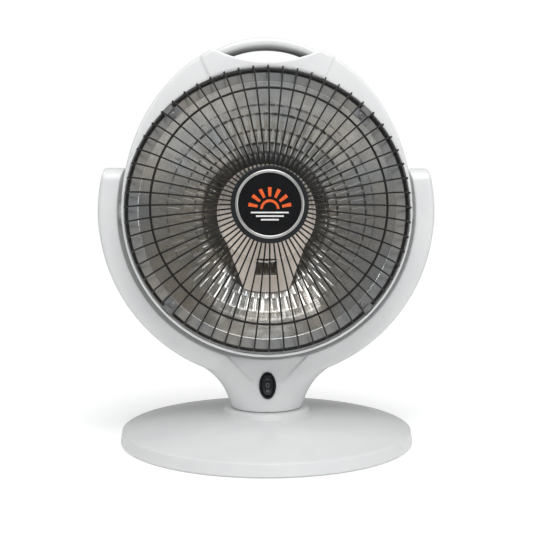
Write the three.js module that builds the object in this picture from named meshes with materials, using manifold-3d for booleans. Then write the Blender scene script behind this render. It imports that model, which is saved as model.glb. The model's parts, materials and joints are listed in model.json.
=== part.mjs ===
// A parabolic electric heater: a round head with a polished dish, a wire guard and a carrying handle,
// tilting between the arms of a yoke that stands on a round weighted base.
// Millimetres, +Z up, the front faces -Y, the origin is on the floor under the centre of the base.
import * as THREE from "three";
import { mergeVertices } from "three/addons/utils/BufferGeometryUtils.js";
import Module from "manifold-3d";

const wasm = await Module();
wasm.setup();

// ---------------------------------------------------------------- driving dimensions
const GAP = 0.3; // between pieces that touch
const RUNNING_GAP = 0.45; // round a shaft or slider that moves
const WALL = 2.5; // moulded walls
const SHEET = 1; // the dish's aluminium

// Head, measured from the tilt axis
const REST_TILT = 5; // degrees that the face looks up
const GUARD_RADIUS = 150; // centre line of the guard's frame ring
const RIM_FORWARD = 33; // the dish's flange ahead of the tilt axis
const DISH_RADIUS = 138;
const DISH_DEPTH = 72.5;
const RING_ROOM = 1; // between the guard's frame ring and the bezel
const LIP_WIDTH = 3.1; // white rim round the guard
const FACE_EDGE = 2.7; // rounded edge of the housing's face, across it
const FACE_EDGE_DEPTH = 4.5; // and front to back
const CROWN = 1.2; // the head's top half is drawn out to an ellipse by this
const CHIN = 1.01; // and its bottom half by this
const CROWN_PANEL = 1.6; // raised panel at the crown
const CROWN_PANEL_WEDGE = 23.5; // degrees that it reaches each side of the top
const HOUSING_BACK = 18; // where the white housing meets the dark back, behind the axis
const HOUSING_DRAFT = 4; // how much narrower it is there
const BACK_SPACE = 34; // from the dish's vertex to the outside of the back
const BACK_SHARPNESS = 3.2; // high is a squarer back
const BACK_FLAT = 0.36; // of its radius is flat at the end
const PIVOT_BOSS_WALL = 7; // round each trunnion's bore
const VENTS = 4; // in each half of the back
const VENT_START = 47; // first one from the axis
const VENT_PITCH = 14;
const VENT_HALF_WIDTH = 47;
const VENT_STEP = 5; // how much shorter each end of the next one is
const VENT_HEIGHT = 4.4;
const REAR_SCREW_SINK = 8; // screw's seat behind the white housing's edge
const REAR_SCREW_LENGTH = 18;

// Guard
const SPOKES = 60;
const SPOKE_WIRE = 1.9;
const RING_WIRE = 3.2; // frame ring
const BRACE_WIRE = 2.4; // middle and inner rings
const BRACE_RADIUS = 121;
const GUARD_DRUM = 22; // straight side of the cage
const GUARD_DOME = 26; // rise from there to the hub
const DOME_SHARPNESS = 5.5; // high is a flat front with a tight shoulder
const HUB_RADIUS = 39.5;
const HUB_DEPTH = 5.5;
const BADGE_RADIUS = 31.5;
const BADGE_RING_WIDTH = 3.4;
const CLIP_LENGTH = 22;
const CLIP_SHEET = 1;
const CLIP_SCREW_LENGTH = 14;

// Handle
const HANDLE_HALF_WIDTH = 58; // where the scoop in front of it meets the outline
const HANDLE_HEIGHT = 13;
const HANDLE_DEPTH = 20;
const HANDLE_BACKSET = 22; // bar's front behind the front panel
const HANDLE_RISE = 6.4; // bar's top above the crown
const HANDLE_BOW = 116; // radius of the bar's top line
const SCOOP_EDGE = 6.5; // panel left between the guard and the scoop, at the middle
const SCOOP_SAG = 13; // scoop's ends above its middle

// Heating element
const SHIELD_RADIUS = 55;
const SHIELD_REACH = 88; // from the dish's axis to the foot of the tongue
const SHIELD_FOOT = 23.5; // half width of the tongue at its foot
const SHIELD_BACKSET = 8; // behind the tilt axis
const SHIELD_SHEET = 1.2;
const SHIELD_LIP = 3;
const SOCKET_BORE = 17; // hole in the dish
const SOCKET_DEPTH = 14;
const SOCKET_RIM = 5;
const SHIELD_WINDOW = 23.5; // width of the window in the tongue
const CUTOUT_RADIUS = 11;
const CORE_RADIUS = 15;
const CORE_TIP = 7;
const CORE_LENGTH = 58;
const STEM_RADIUS = 5;
const COIL_WIRE = 2.2;
const COIL_TURNS = 6;
const COIL_FACETS = 8; // in each turn

// Yoke
const SWING_GAP = 1; // between the swinging head and the yoke
const ARM_WIDTH = 21.4; // across the arm, seen from the front
const ARM_DEPTH = 44; // front to back
const ARM_EDGE = 5; // softened outer edges
const ARM_RISE = 49; // arms' tops above the tilt axis
const ARM_CAP = 16; // height of their rounded ends
const NECK_RISE = 32.5; // from the collar to the yoke's lowest bend
const NECK_HALF_WIDTH = 39; // at the foot
const NECK_HALF_DEPTH = 36;
const NECK_TAPER = 19; // how much wider the neck gets on its way up, as a straight taper
const NECK_FLARE = 39; // and as a curve that runs out into the yoke
const FLARE_SHARPNESS = 3.4;
const PANEL_SLOPE = 20; // degrees that the switch panel leans back
const PANEL_SINK = 1.6; // panel behind the neck's front, at the switch
const TRUNNION_RADIUS = 8;
const BUSH_WALL = 4;
const PIVOT_WASHER = 1.5;
const NUT_HEIGHT = 6;
const YOKE_SCREW_ANGLES = [-22, -52, -128, -158]; // degrees round the tilt axis's middle
const YOKE_SCREW_SINK = 6;
const YOKE_SCREW_LENGTH = 26;
const NECK_BOLT_EDGE = 7.5; // bolt's axis inside the neck's foot
const NECK_BOLT_THREAD = 8; // length of it in the yoke's foot
const CLAMP_SHEET = 2.5;

// Switch
const SWITCH_HALF_WIDTH = 9.4;
const SWITCH_HALF_HEIGHT = 15;
const SWITCH_RIM = 2.4; // rim round the rocker
const SWITCH_DROP = 4.5; // switch's middle below the yoke's lowest bend
const ROCKER_GAP = 0.8;
const ROCKER_AXLE = 1.5; // radius
const ROCKER_PROUD = 3.2; // ends of the rocker ahead of the panel
const ROCKER_AXLE_SINK = 1; // axle behind the panel

// Base
const FOOT_HEIGHT = 1.5; // rim of the cover above the floor
const FOOT_RADIUS = 9;
const BASE_RADIUS = 161;
const BASE_DRAFT = 2.4;
const RIM_HEIGHT = 13;
const DOME_RISE = 15;
const COLLAR_RISE = 5.5;
const COLLAR_RADIUS = 46;
const PLATE_SHEET = 1.5;
const WEIGHT_THICKNESS = 7;
const WIRE_WAY = 20; // radius of the hole through the collar
const BASE_SCREW_LENGTH = 12;
const PLUNGER_RADIUS = 4;
const PLUNGER_COLLAR = 5.5;
const PLUNGER_TRAVEL = 5;
const TIP_BODY_ROOM = 13; // above the plunger's travel
const TERMINAL_WIDTH = 30;
const TERMINAL_WAYS = 3;
const GLAND_RADIUS = 3.6;
const GLAND_POCKET = 4.6; // half width of the pocket that it sits in
const GLAND_SINK = 7; // depth of that pocket
const GLAND_RISE = 5.2; // its axis above the base plate

// Fasteners
const SCREW_RADIUS = 1.6;
const BOLT_RADIUS = 2.5;
const HEAD_RATIO = 2.1; // screw head's radius over its shank's
const BOSS_RADIUS = 4.4;

// Facets
const FINE = 32; // large turned pieces; a multiple of 8, so that facets match at the diagonals
const MEDIUM = 24; // hub, weight and socket
const COARSE = 12; // small round pieces
const SMALL = 8; // screws, their holes and ovals
const THROUGH = 50; // half length of a tool that cuts right through a small piece
const FAR = 500; // and of one that cuts away half of the heater

// ---------------------------------------------------------------- sizes that follow
const rad = THREE.MathUtils.degToRad;
const screwHead = SCREW_RADIUS * HEAD_RATIO;
const screwBore = SCREW_RADIUS + GAP;
const flangeY = -RIM_FORWARD;
const ledgeY = flangeY + SHEET + GAP;
const ringY = flangeY - GAP - RING_WIRE / 2;
const faceY = ringY - RING_WIRE / 2 - GAP;
const padY = faceY - CROWN_PANEL;
const vertexY = flangeY + DISH_DEPTH;
const backY = vertexY + BACK_SPACE;
const bezelRadius = GUARD_RADIUS + RING_WIRE / 2 + RING_ROOM;
const housingRadius = bezelRadius + LIP_WIDTH;
const widestY = faceY + FACE_EDGE_DEPTH;
const shoulderY = ringY - GUARD_DRUM;
const hubY = shoulderY - GUARD_DOME;
const yokeInner = Math.hypot(CHIN * housingRadius, widestY) + SWING_GAP;
const yokeOuter = yokeInner + ARM_WIDTH;
const rimTop = FOOT_HEIGHT + RIM_HEIGHT;
const domeTop = rimTop + DOME_RISE;
const collarTop = domeTop + COLLAR_RISE;
const pivotHeight = collarTop + GAP + NECK_RISE + yokeOuter;
const neckFoot = -(yokeOuter + NECK_RISE); // from the tilt axis
const ringInside = GUARD_RADIUS - RING_WIRE / 2 - GAP;
const screwCircle = ringInside - CLIP_SHEET - 2 * GAP - screwHead;
const dishY = (r) => vertexY - DISH_DEPTH * (r / DISH_RADIUS) ** 2;
const dishRadiusAt = (y) => DISH_RADIUS * Math.sqrt((vertexY - y) / DISH_DEPTH);
const diagonals = [45, 135, 225, 315]; // degrees round the head's axis, for clips and screws

// ---------------------------------------------------------------- finishes
const finish = (color, roughness, metalness = 0) =>
  new THREE.MeshStandardMaterial({ color, roughness, metalness });
const white = finish(0xe9eae8, 0.35);
const black = finish(0x1b1c1e, 0.45);
const wireBlack = finish(0x1d1b19, 0.5, 0.3);
const aluminium = finish(0xb9bab8, 0.18, 1);
const silver = finish(0xb4b4b2, 0.35, 0.8);
const cream = finish(0xd9cdc1, 0.6);
const ceramic = finish(0xe6dfd2, 0.7);
const nichrome = finish(0x6f675e, 0.5, 0.9);
const steel = finish(0x9a9a98, 0.35, 1);
const iron = finish(0x55534f, 0.6, 0.8);
const rubber = finish(0x2a2a2b, 0.85);
const nylon = finish(0xdcdcd6, 0.5);

// ---------------------------------------------------------------- solids
// A closed geometry as a solid that faces out.
function solid(geometry) {
  const bare = new THREE.BufferGeometry().setAttribute("position", geometry.getAttribute("position"));
  if (geometry.index) bare.setIndex(geometry.index);
  const merged = mergeVertices(bare, 1e-4);
  const triVerts = new Uint32Array(merged.index.array);
  const vertProperties = new Float32Array(merged.attributes.position.array);
  const made = new wasm.Manifold(new wasm.Mesh({ numProp: 3, vertProperties, triVerts }));
  if (made.volume() > 0) return made;
  triVerts.reverse();
  return new wasm.Manifold(new wasm.Mesh({ numProp: 3, vertProperties, triVerts }));
}

function geometryOf(manifold) {
  const mesh = manifold.getMesh();
  const geometry = new THREE.BufferGeometry();
  geometry.setAttribute("position", new THREE.BufferAttribute(mesh.vertProperties, 3));
  geometry.setIndex(new THREE.BufferAttribute(mesh.triVerts, 1));
  geometry.computeVertexNormals();
  return geometry;
}

const union = (...solids) => solids.flat().reduce((a, b) => a.add(b));
const cut = (body, ...tools) => tools.flat().reduce((a, b) => a.subtract(b), body);
const moved = (manifold, x, y, z) => manifold.translate([x, y, z]);

// A profile of [radius, y] pairs turned about the Y axis, and one of [radius, z] about the Z axis.
const turned = (profile, segments = FINE) =>
  solid(new THREE.LatheGeometry(profile.map(([r, y]) => new THREE.Vector2(r, y)), segments));
const turnedUp = (profile, segments = FINE) => turned(profile, segments).rotate([90, 0, 0]);

const discProfile = (radius, low, high) => [
  [0, low],
  [radius, low],
  [radius, high],
  [0, high],
];
const ringProfile = (inner, outer, low, high) => [
  [inner, low],
  [outer, low],
  [outer, high],
  [inner, high],
  [inner, low],
];
const rod = (radius, low, high, segments = COARSE) => turned(discProfile(radius, low, high), segments);
const upRod = (radius, low, high, segments = COARSE) => rod(radius, low, high, segments).rotate([90, 0, 0]);
const sideRod = (radius, low, high, segments = COARSE) =>
  rod(radius, low, high, segments).rotate([0, 0, -90]);

function block(x0, x1, y0, y1, z0, z1) {
  const box = new THREE.BoxGeometry(x1 - x0, y1 - y0, z1 - z0);
  return solid(box.translate((x0 + x1) / 2, (y0 + y1) / 2, (z0 + z1) / 2));
}

// An outline drawn in X and Z, extruded from y = low to y = high.
function plate(shape, low, high, curveSegments = SMALL) {
  const settings = { depth: high - low, bevelEnabled: false, curveSegments };
  const geometry = new THREE.ExtrudeGeometry(shape, settings);
  return solid(geometry.rotateX(Math.PI / 2).translate(0, high, 0));
}

// A profile in radius and y, extruded across the radius it stands on.
function strip(profile, width) {
  const shape = new THREE.Shape(profile.map(([r, y]) => new THREE.Vector2(r, y)));
  const geometry = new THREE.ExtrudeGeometry(shape, { depth: width, bevelEnabled: false });
  return solid(geometry.translate(0, 0, -width / 2));
}

// Closed sections of equal point counts joined one to the next, with flat ends.
function loft(sections) {
  const count = sections[0].length;
  const position = sections.flat().flatMap((p) => [p.x, p.y, p.z]);
  const index = [];
  for (let s = 0; s < sections.length - 1; s++)
    for (let i = 0; i < count; i++) {
      const a = s * count + i;
      const b = s * count + ((i + 1) % count);
      index.push(a, b, b + count, a, b + count, a + count);
    }
  const last = (sections.length - 1) * count;
  for (const [start, flip] of [
    [0, true],
    [last, false],
  ]) {
    const middle = position.length / 3;
    const centre = new THREE.Vector3();
    for (const p of sections[start / count]) centre.add(p);
    position.push(...centre.divideScalar(count).toArray());
    for (let i = 0; i < count; i++) {
      const pair = [start + i, start + ((i + 1) % count)];
      index.push(...(flip ? pair.reverse() : pair), middle);
    }
  }
  const geometry = new THREE.BufferGeometry();
  geometry.setAttribute("position", new THREE.Float32BufferAttribute(position, 3));
  geometry.setIndex(index);
  return solid(geometry);
}

// Draws the half above the axis out to an ellipse, and the lower half to a rounder one.
const crowned = (manifold) =>
  manifold.warp((v) => {
    v[2] *= v[2] > 0 ? CROWN : CHIN;
  });

// Copies of a solid at angles round the Y axis; 0 degrees is +X and 90 is up.
const around = (manifold, degrees) => degrees.map((a) => manifold.rotate([0, -a, 0]));

// Copies of an upright solid at angles round the base.
const onCircle = (manifold, radius, degrees) =>
  degrees.map((a) => moved(manifold, radius * Math.cos(rad(a)), radius * Math.sin(rad(a)), 0));

// A pan-head screw along Y: its head seats at y = seat, and its shank runs towards +Y.
function screwSolid(seat, length, radius = SCREW_RADIUS) {
  const head = radius * HEAD_RATIO;
  const height = 1.2 * radius;
  return turned(
    [
      [0, seat - height],
      [0.7 * head, seat - height],
      [head, seat - 0.45 * height],
      [head, seat],
      [radius, seat],
      [radius, seat + length],
      [0, seat + length],
    ],
    SMALL,
  );
}

// ---------------------------------------------------------------- scene graph
const heater = new THREE.Group();
heater.name = "parabolic_heater";
const stand = new THREE.Group();
const yokeGroup = new THREE.Group();
yokeGroup.position.z = pivotHeight;
const head = new THREE.Group();
head.position.z = pivotHeight;
head.rotation.x = -rad(REST_TILT);
heater.add(stand, yokeGroup, head);

function place(group, name, manifold, material) {
  const mesh = new THREE.Mesh(geometryOf(manifold), material);
  mesh.name = name;
  group.add(mesh);
}

const placeEach = (group, name, solids, material) =>
  solids.forEach((each, i) => place(group, `${name}_${i + 1}`, each, material));

// ---------------------------------------------------------------- the dish
const dishSteps = 5;
const dishStep = (DISH_RADIUS - SOCKET_BORE) / dishSteps;
const dishChord = DISH_DEPTH * (dishStep / 2 / DISH_RADIUS) ** 2; // facets' depth inside the true curve

function makeReflector() {
  const front = Array.from({ length: dishSteps + 1 }, (_, i) => {
    const r = SOCKET_BORE + dishStep * i;
    return [r, dishY(r)];
  });
  const back = front.map(([r, y]) => [r, y + SHEET]).reverse();
  const edge = bezelRadius - GAP;
  const flange = [
    [edge, flangeY],
    [edge, flangeY + SHEET],
  ];
  const shell = turned([...front, ...flange, ...back, front[0]]);
  const hole = moved(rod(screwBore, flangeY - 2, flangeY + 4, SMALL), screwCircle, 0, 0);
  return cut(shell, around(hole, diagonals));
}

// ---------------------------------------------------------------- the handle and the hand's way under it
const crownTop = housingRadius * CROWN;
const barTop = crownTop + HANDLE_RISE;
const barFront = faceY + HANDLE_BACKSET;
const scoopLow = bezelRadius + SCOOP_EDGE;
const scoopRadius = (HANDLE_HALF_WIDTH ** 2 + SCOOP_SAG ** 2) / (2 * SCOOP_SAG);

// A trough with a curved floor that climbs towards the back. sink puts its floor and sides further out.
function handTrough(sink = 0) {
  const floor = [
    [padY - 12, 0],
    [faceY + WALL + GAP, 0],
    [0, 2],
    [HOUSING_BACK, 7],
    [HOUSING_BACK + 22, 17],
  ];
  const half = HANDLE_HALF_WIDTH + sink;
  const steps = 8;
  const above = barTop + 20;
  const sections = floor.map(([y, climb]) => {
    const points = [];
    for (let i = 0; i <= steps; i++) {
      const x = half * ((2 * i) / steps - 1);
      const sag = scoopRadius - Math.sqrt(scoopRadius ** 2 - x * x);
      points.push(new THREE.Vector3(x, y, scoopLow + climb - sink + sag));
    }
    points.push(new THREE.Vector3(half, y, above), new THREE.Vector3(-half, y, above));
    return points;
  });
  return loft(sections);
}

function handleBar(grow = 0) {
  const h = HANDLE_HEIGHT / 2 + grow;
  const d = HANDLE_DEPTH / 2 + grow;
  const corners = 8;
  const soften = (v) => Math.sign(v) * Math.abs(v) ** 0.7;
  const section = new THREE.Shape(
    Array.from({ length: corners }, (_, i) => {
      const a = (2 * Math.PI * i) / corners;
      return new THREE.Vector2(d * soften(Math.cos(a)), h * soften(Math.sin(a)));
    }),
  );
  const bow = HANDLE_BOW - HANDLE_HEIGHT / 2;
  const reach = Math.asin((HANDLE_HALF_WIDTH + 4 + grow) / bow);
  const steps = 10;
  const points = Array.from({ length: steps + 1 }, (_, i) => {
    const a = reach * ((2 * i) / steps - 1);
    return new THREE.Vector3(
      bow * Math.sin(a),
      barFront + HANDLE_DEPTH / 2,
      barTop - HANDLE_BOW + bow * Math.cos(a),
    );
  });
  const extrudePath = new THREE.CatmullRomCurve3(points);
  return solid(new THREE.ExtrudeGeometry(section, { extrudePath, steps, bevelEnabled: false }));
}

// ---------------------------------------------------------------- the white housing
// Everything above the tilt axis.
const aboveAxis = () => block(-FAR, FAR, -FAR, FAR, 0, FAR);

function crownPanel() {
  const half = rad(CROWN_PANEL_WEDGE);
  const reach = 2 * housingRadius;
  const wedge = new THREE.Shape([
    new THREE.Vector2(0, 0),
    new THREE.Vector2(reach * Math.sin(half), reach * Math.cos(half)),
    new THREE.Vector2(-reach * Math.sin(half), reach * Math.cos(half)),
  ]);
  const disc = crowned(turned(discProfile(housingRadius - 0.5 * FACE_EDGE, padY, faceY + 1)));
  const panel = disc.intersect(plate(wedge, padY - 1, faceY + 2));
  return cut(panel, rod(bezelRadius + 0.5 * LIP_WIDTH, padY - 5, faceY + 5, FINE));
}

const pivotBossX = housingRadius - HOUSING_DRAFT - 3 * WALL; // inner face of the boss round each trunnion
const pivotBossRadius = TRUNNION_RADIUS + PIVOT_BOSS_WALL;
const housingRear = housingRadius - HOUSING_DRAFT;
const seatOuter = bezelRadius + WALL; // of the ring that the dish's flange rests on

// The housing's outer form.
const housingForm = () =>
  crowned(
    turned([
      [0, faceY],
      [housingRadius - FACE_EDGE, faceY],
      [housingRadius - 0.35 * FACE_EDGE, faceY + 0.3 * FACE_EDGE_DEPTH],
      [housingRadius, widestY],
      [housingRear, HOUSING_BACK],
      [0, HOUSING_BACK],
    ]),
  );

// The space inside its walls, or inside the walls and a clearance.
function housingCavity(inset) {
  const front = faceY + inset;
  return crowned(
    turned([
      [0, front],
      [housingRadius - FACE_EDGE - 0.4 * inset, front],
      [housingRadius - inset, widestY + inset],
      [housingRear - inset, HOUSING_BACK + 1],
      [0, HOUSING_BACK + 1],
    ]),
  );
}

function makeFrontHousing() {
  const body = housingForm();
  const chinCut = rod(bezelRadius, padY - 5, ledgeY, FINE).scale([1, 1, CHIN]);
  const opening = union(rod(bezelRadius, padY - 5, ledgeY, FINE), cut(chinCut, aboveAxis()));
  const seat = turned([
    [DISH_RADIUS + 2, ledgeY],
    [bezelRadius, ledgeY],
    [bezelRadius, faceY + 1],
    [seatOuter, faceY + 1],
    [seatOuter, ledgeY + WALL],
    [DISH_RADIUS + 2, ledgeY + WALL],
    [DISH_RADIUS + 2, ledgeY],
  ]).intersect(body);
  const boss = moved(rod(BOSS_RADIUS, ledgeY + 1, HOUSING_BACK - GAP, SMALL), screwCircle, 0, 0);
  const pilot = moved(rod(screwBore, ledgeY - 2, HOUSING_BACK + 2, SMALL), screwCircle, 0, 0);
  const sides = [0, 180];
  const pivotBoss = sideRod(pivotBossRadius, pivotBossX, housingRadius - WALL).intersect(body);
  const pivotBore = sideRod(TRUNNION_RADIUS + GAP, pivotBossX - 5, housingRadius + 5);
  const walls = union(cut(body, housingCavity(WALL)), crownPanel());
  const open = cut(walls, opening, handTrough());
  const inside = [cut(seat, opening), ...around(boss, diagonals), ...around(pivotBoss, sides)];
  return cut(union(open, inside, handleBar()), around(pilot, diagonals), around(pivotBore, sides));
}

// ---------------------------------------------------------------- the dark back
// A bowl that falls away from the white housing; inset shrinks it to its own cavity.
function backSolid(inset, front) {
  const r = housingRear - inset;
  const deep = backY - HOUSING_BACK - inset;
  const curve = [0.38, 0.66, 0.85].map((share) => [
    r * (1 - share ** BACK_SHARPNESS) ** 0.5,
    HOUSING_BACK + share * deep,
  ]);
  const end = backY - inset;
  return crowned(turned([[0, front], [r, front], ...curve, [BACK_FLAT * r, end], [0, end]]));
}

const rearScrewSeat = HOUSING_BACK + REAR_SCREW_SINK;

function makeRearHousing() {
  const front = HOUSING_BACK + GAP;
  const body = backSolid(0, front);
  const span = HANDLE_HALF_WIDTH - 3;
  const lining = cut(
    handTrough(WALL).intersect(union(housingCavity(WALL + GAP), body)),
    handTrough(),
    block(-FAR, -span, -FAR, FAR, 0, FAR),
    block(span, FAR, -FAR, FAR, 0, FAR),
    rod(seatOuter + GAP, -FAR, ledgeY + WALL + GAP, FINE),
    handleBar(GAP),
  );
  const vents = [];
  for (const side of [1, -1])
    for (let i = 0; i < VENTS; i++) {
      const half = VENT_HALF_WIDTH - VENT_STEP * i;
      const z = side * (VENT_START + VENT_PITCH * i);
      vents.push(
        block(-half, half, HOUSING_BACK + 12, backY + 5, z - VENT_HEIGHT / 2, z + VENT_HEIGHT / 2),
      );
    }
  const boss = moved(rod(BOSS_RADIUS, front, backY, SMALL), screwCircle, 0, 0);
  const posts = around(boss, diagonals).map((post) => post.intersect(body));
  const sunk = moved(rod(screwHead + GAP, rearScrewSeat, backY + 5, SMALL), screwCircle, 0, 0);
  const hole = moved(rod(screwBore, front - 2, backY, SMALL), screwCircle, 0, 0);
  const shell = cut(body, backSolid(WALL, front - 1), vents, handTrough());
  return cut(union(shell, lining, posts), around(sunk, diagonals), around(hole, diagonals));
}

// ---------------------------------------------------------------- the wire guard
// The cage's front at a radius.
const domeY = (r) => {
  const share = (r - HUB_RADIUS) / (GUARD_RADIUS - HUB_RADIUS);
  return hubY + GUARD_DOME * Math.max(share, 0) ** DOME_SHARPNESS;
};

// A ring with a facet for every spoke.
function hoop(radius, y, wire) {
  const torus = new THREE.TorusGeometry(radius, wire / 2, 4, SPOKES);
  return moved(solid(torus.rotateX(Math.PI / 2).rotateY(Math.PI / SPOKES)), 0, y, 0);
}

function makeGuard() {
  const half = SPOKE_WIRE / 2;
  const bend = GUARD_RADIUS - BRACE_RADIUS;
  const stops = [
    [GUARD_RADIUS, ringY],
    [GUARD_RADIUS - 0.5, shoulderY + 4],
    ...[0.3, 1].map((share) => {
      const r = GUARD_RADIUS - share * bend;
      return [r, domeY(r)];
    }),
    [HUB_RADIUS - 6, hubY],
  ];
  // Each side of the wire runs half its thickness from these stops.
  const near = [];
  const far = [];
  stops.forEach(([r, y], i) => {
    const [r0, y0] = stops[Math.max(i - 1, 0)];
    const [r1, y1] = stops[Math.min(i + 1, stops.length - 1)];
    const across = new THREE.Vector2(-(y1 - y0), r1 - r0).setLength(half);
    near.push([r + across.x, y + across.y]);
    far.unshift([r - across.x, y - across.y]);
  });
  const spoke = strip([...near, ...far], SPOKE_WIRE);
  const spokes = around(
    spoke,
    Array.from({ length: SPOKES }, (_, i) => (360 * i) / SPOKES),
  );
  const behind = half + 0.2 * BRACE_WIRE;
  const hoops = [
    hoop(GUARD_RADIUS, ringY, RING_WIRE),
    hoop(BRACE_RADIUS, domeY(BRACE_RADIUS) + behind, BRACE_WIRE),
    hoop(HUB_RADIUS - 6, hubY, BRACE_WIRE),
  ];
  return union(hoops, spokes);
}

const hubBack = hubY - SPOKE_WIRE / 2 - GAP;
const hubFront = hubBack - HUB_DEPTH;
const badgeSeat = hubFront + 3;
const clampStem = HUB_RADIUS / 3;

const makeHub = () =>
  turned(
    [
      [0, badgeSeat],
      [BADGE_RADIUS + BADGE_RING_WIDTH + GAP, badgeSeat],
      [BADGE_RADIUS + BADGE_RING_WIDTH + GAP, hubFront + 0.8],
      [HUB_RADIUS - 1.5, hubFront],
      [HUB_RADIUS, hubFront + 1.8],
      [HUB_RADIUS, hubBack],
      [0, hubBack],
    ],
    MEDIUM,
  );

const makeBadgeRing = () =>
  turned(
    [
      [BADGE_RADIUS + GAP, badgeSeat - GAP],
      [BADGE_RADIUS + GAP, hubFront + 0.4],
      [BADGE_RADIUS + BADGE_RING_WIDTH / 2, hubFront - 0.5],
      [BADGE_RADIUS + BADGE_RING_WIDTH, hubFront + 0.4],
      [BADGE_RADIUS + BADGE_RING_WIDTH, badgeSeat - GAP],
      [BADGE_RADIUS + GAP, badgeSeat - GAP],
    ],
    MEDIUM,
  );

const makeBadgeFace = () =>
  turned(
    [
      [0, hubFront - 0.4],
      [0.6 * BADGE_RADIUS, hubFront],
      [BADGE_RADIUS, hubFront + 1.2],
      [BADGE_RADIUS, badgeSeat - GAP],
      [0, badgeSeat - GAP],
    ],
    MEDIUM,
  );

// Holds the hub from behind, through the middle of the inner ring.
function makeHubClamp() {
  const behindWires = hubY + SPOKE_WIRE / 2 + BRACE_WIRE + GAP;
  return turned(
    [
      [0, hubBack + GAP],
      [clampStem, hubBack + GAP],
      [clampStem, behindWires],
      [HUB_RADIUS - 3, behindWires],
      [HUB_RADIUS - 3, behindWires + 2],
      [0, behindWires + 2],
    ],
    MEDIUM,
  );
}

// A spring-steel strap: a foot under a screw, and a narrower tongue over the frame ring between two wires.
function makeClip() {
  const foot = flangeY - GAP;
  const over = ringY - RING_WIRE / 2 - GAP;
  const inner = screwCircle - screwHead - 1;
  const outer = bezelRadius - GAP;
  const tongueWidth = (2 * Math.PI * ringInside) / SPOKES - SPOKE_WIRE - 4 * GAP;
  // The ring curves in towards the tongue's sides.
  const upright = Math.sqrt((ringInside * Math.cos(Math.PI / SPOKES)) ** 2 - (tongueWidth / 2) ** 2);
  const base = strip(
    [
      [inner, foot],
      [upright, foot],
      [upright, foot - CLIP_SHEET],
      [inner, foot - CLIP_SHEET],
    ],
    CLIP_LENGTH,
  );
  const tongue = strip(
    [
      [upright - 2, foot],
      [upright, foot],
      [upright, over],
      [outer, over],
      [outer, over - CLIP_SHEET],
      [upright - CLIP_SHEET, over - CLIP_SHEET],
      [upright - CLIP_SHEET, foot - CLIP_SHEET],
      [upright - 2, foot - CLIP_SHEET],
    ],
    tongueWidth,
  );
  const hole = moved(rod(screwBore, foot - 10, foot + 5, SMALL), screwCircle, 0, 0);
  const insideRing = turned(discProfile(ringInside, foot - 2 * CLIP_SHEET, foot + 1));
  const insideBezel = rod(outer, over - 2 * CLIP_SHEET, foot + 1, FINE);
  return cut(union(base.intersect(insideRing), tongue.intersect(insideBezel)), hole);
}

const clipScrewSeat = flangeY - 2 * GAP - CLIP_SHEET;

// ---------------------------------------------------------------- the heating element
const shieldBack = SHIELD_BACKSET + SHIELD_SHEET;

function makeShield() {
  const seatRadius = dishRadiusAt(shieldBack + GAP + dishChord);
  const outline = new THREE.Shape([
    new THREE.Vector2(-0.8 * SHIELD_RADIUS, 0.6 * -SHIELD_RADIUS),
    new THREE.Vector2(-SHIELD_FOOT, -SHIELD_REACH),
    new THREE.Vector2(SHIELD_FOOT, -SHIELD_REACH),
    new THREE.Vector2(0.8 * SHIELD_RADIUS, 0.6 * -SHIELD_RADIUS),
  ]);
  const tongue = plate(outline, SHIELD_BACKSET, shieldBack);
  const disc = turned(
    [
      [0, SHIELD_BACKSET],
      [SHIELD_RADIUS - 4, SHIELD_BACKSET],
      [SHIELD_RADIUS - SHIELD_SHEET, SHIELD_BACKSET - SHIELD_LIP],
      [SHIELD_RADIUS, SHIELD_BACKSET - SHIELD_LIP],
      [SHIELD_RADIUS, SHIELD_BACKSET],
      [SHIELD_RADIUS - 3, shieldBack],
      [0, shieldBack],
    ],
    FINE,
  );
  const window = SHIELD_WINDOW / 2;
  const low = -0.78 * SHIELD_REACH;
  const slot = block(-window, window, -THROUGH, THROUGH, low, low + 1.55 * window);
  const ledge = block(-window - 3, window + 6, SHIELD_BACKSET - 7, SHIELD_BACKSET + 1, low - 2, low - 0.6);
  const fingers = union(disc, tongue.intersect(rod(seatRadius, -THROUGH, THROUGH, FINE)), ledge);
  return cut(fingers, slot, rod(STEM_RADIUS + GAP, -THROUGH, THROUGH));
}

const coreBack = SHIELD_BACKSET - GAP;
const socketFront = shieldBack + GAP;
const coreRadiusAt = (share) => CORE_RADIUS + (CORE_TIP - CORE_RADIUS) * share;

// A ceramic cone with a stem that goes through the shield into the socket.
const makeCore = () =>
  turned(
    [
      [0, coreBack - CORE_LENGTH],
      [0.6 * CORE_TIP, coreBack - CORE_LENGTH],
      [CORE_TIP, coreBack - CORE_LENGTH + 2],
      [CORE_RADIUS, coreBack - 6],
      [CORE_RADIUS + 5, coreBack - 6],
      [CORE_RADIUS + 5, coreBack],
      [STEM_RADIUS, coreBack],
      [STEM_RADIUS, socketFront + 8],
      [0, socketFront + 8],
    ],
    COARSE,
  );

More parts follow.
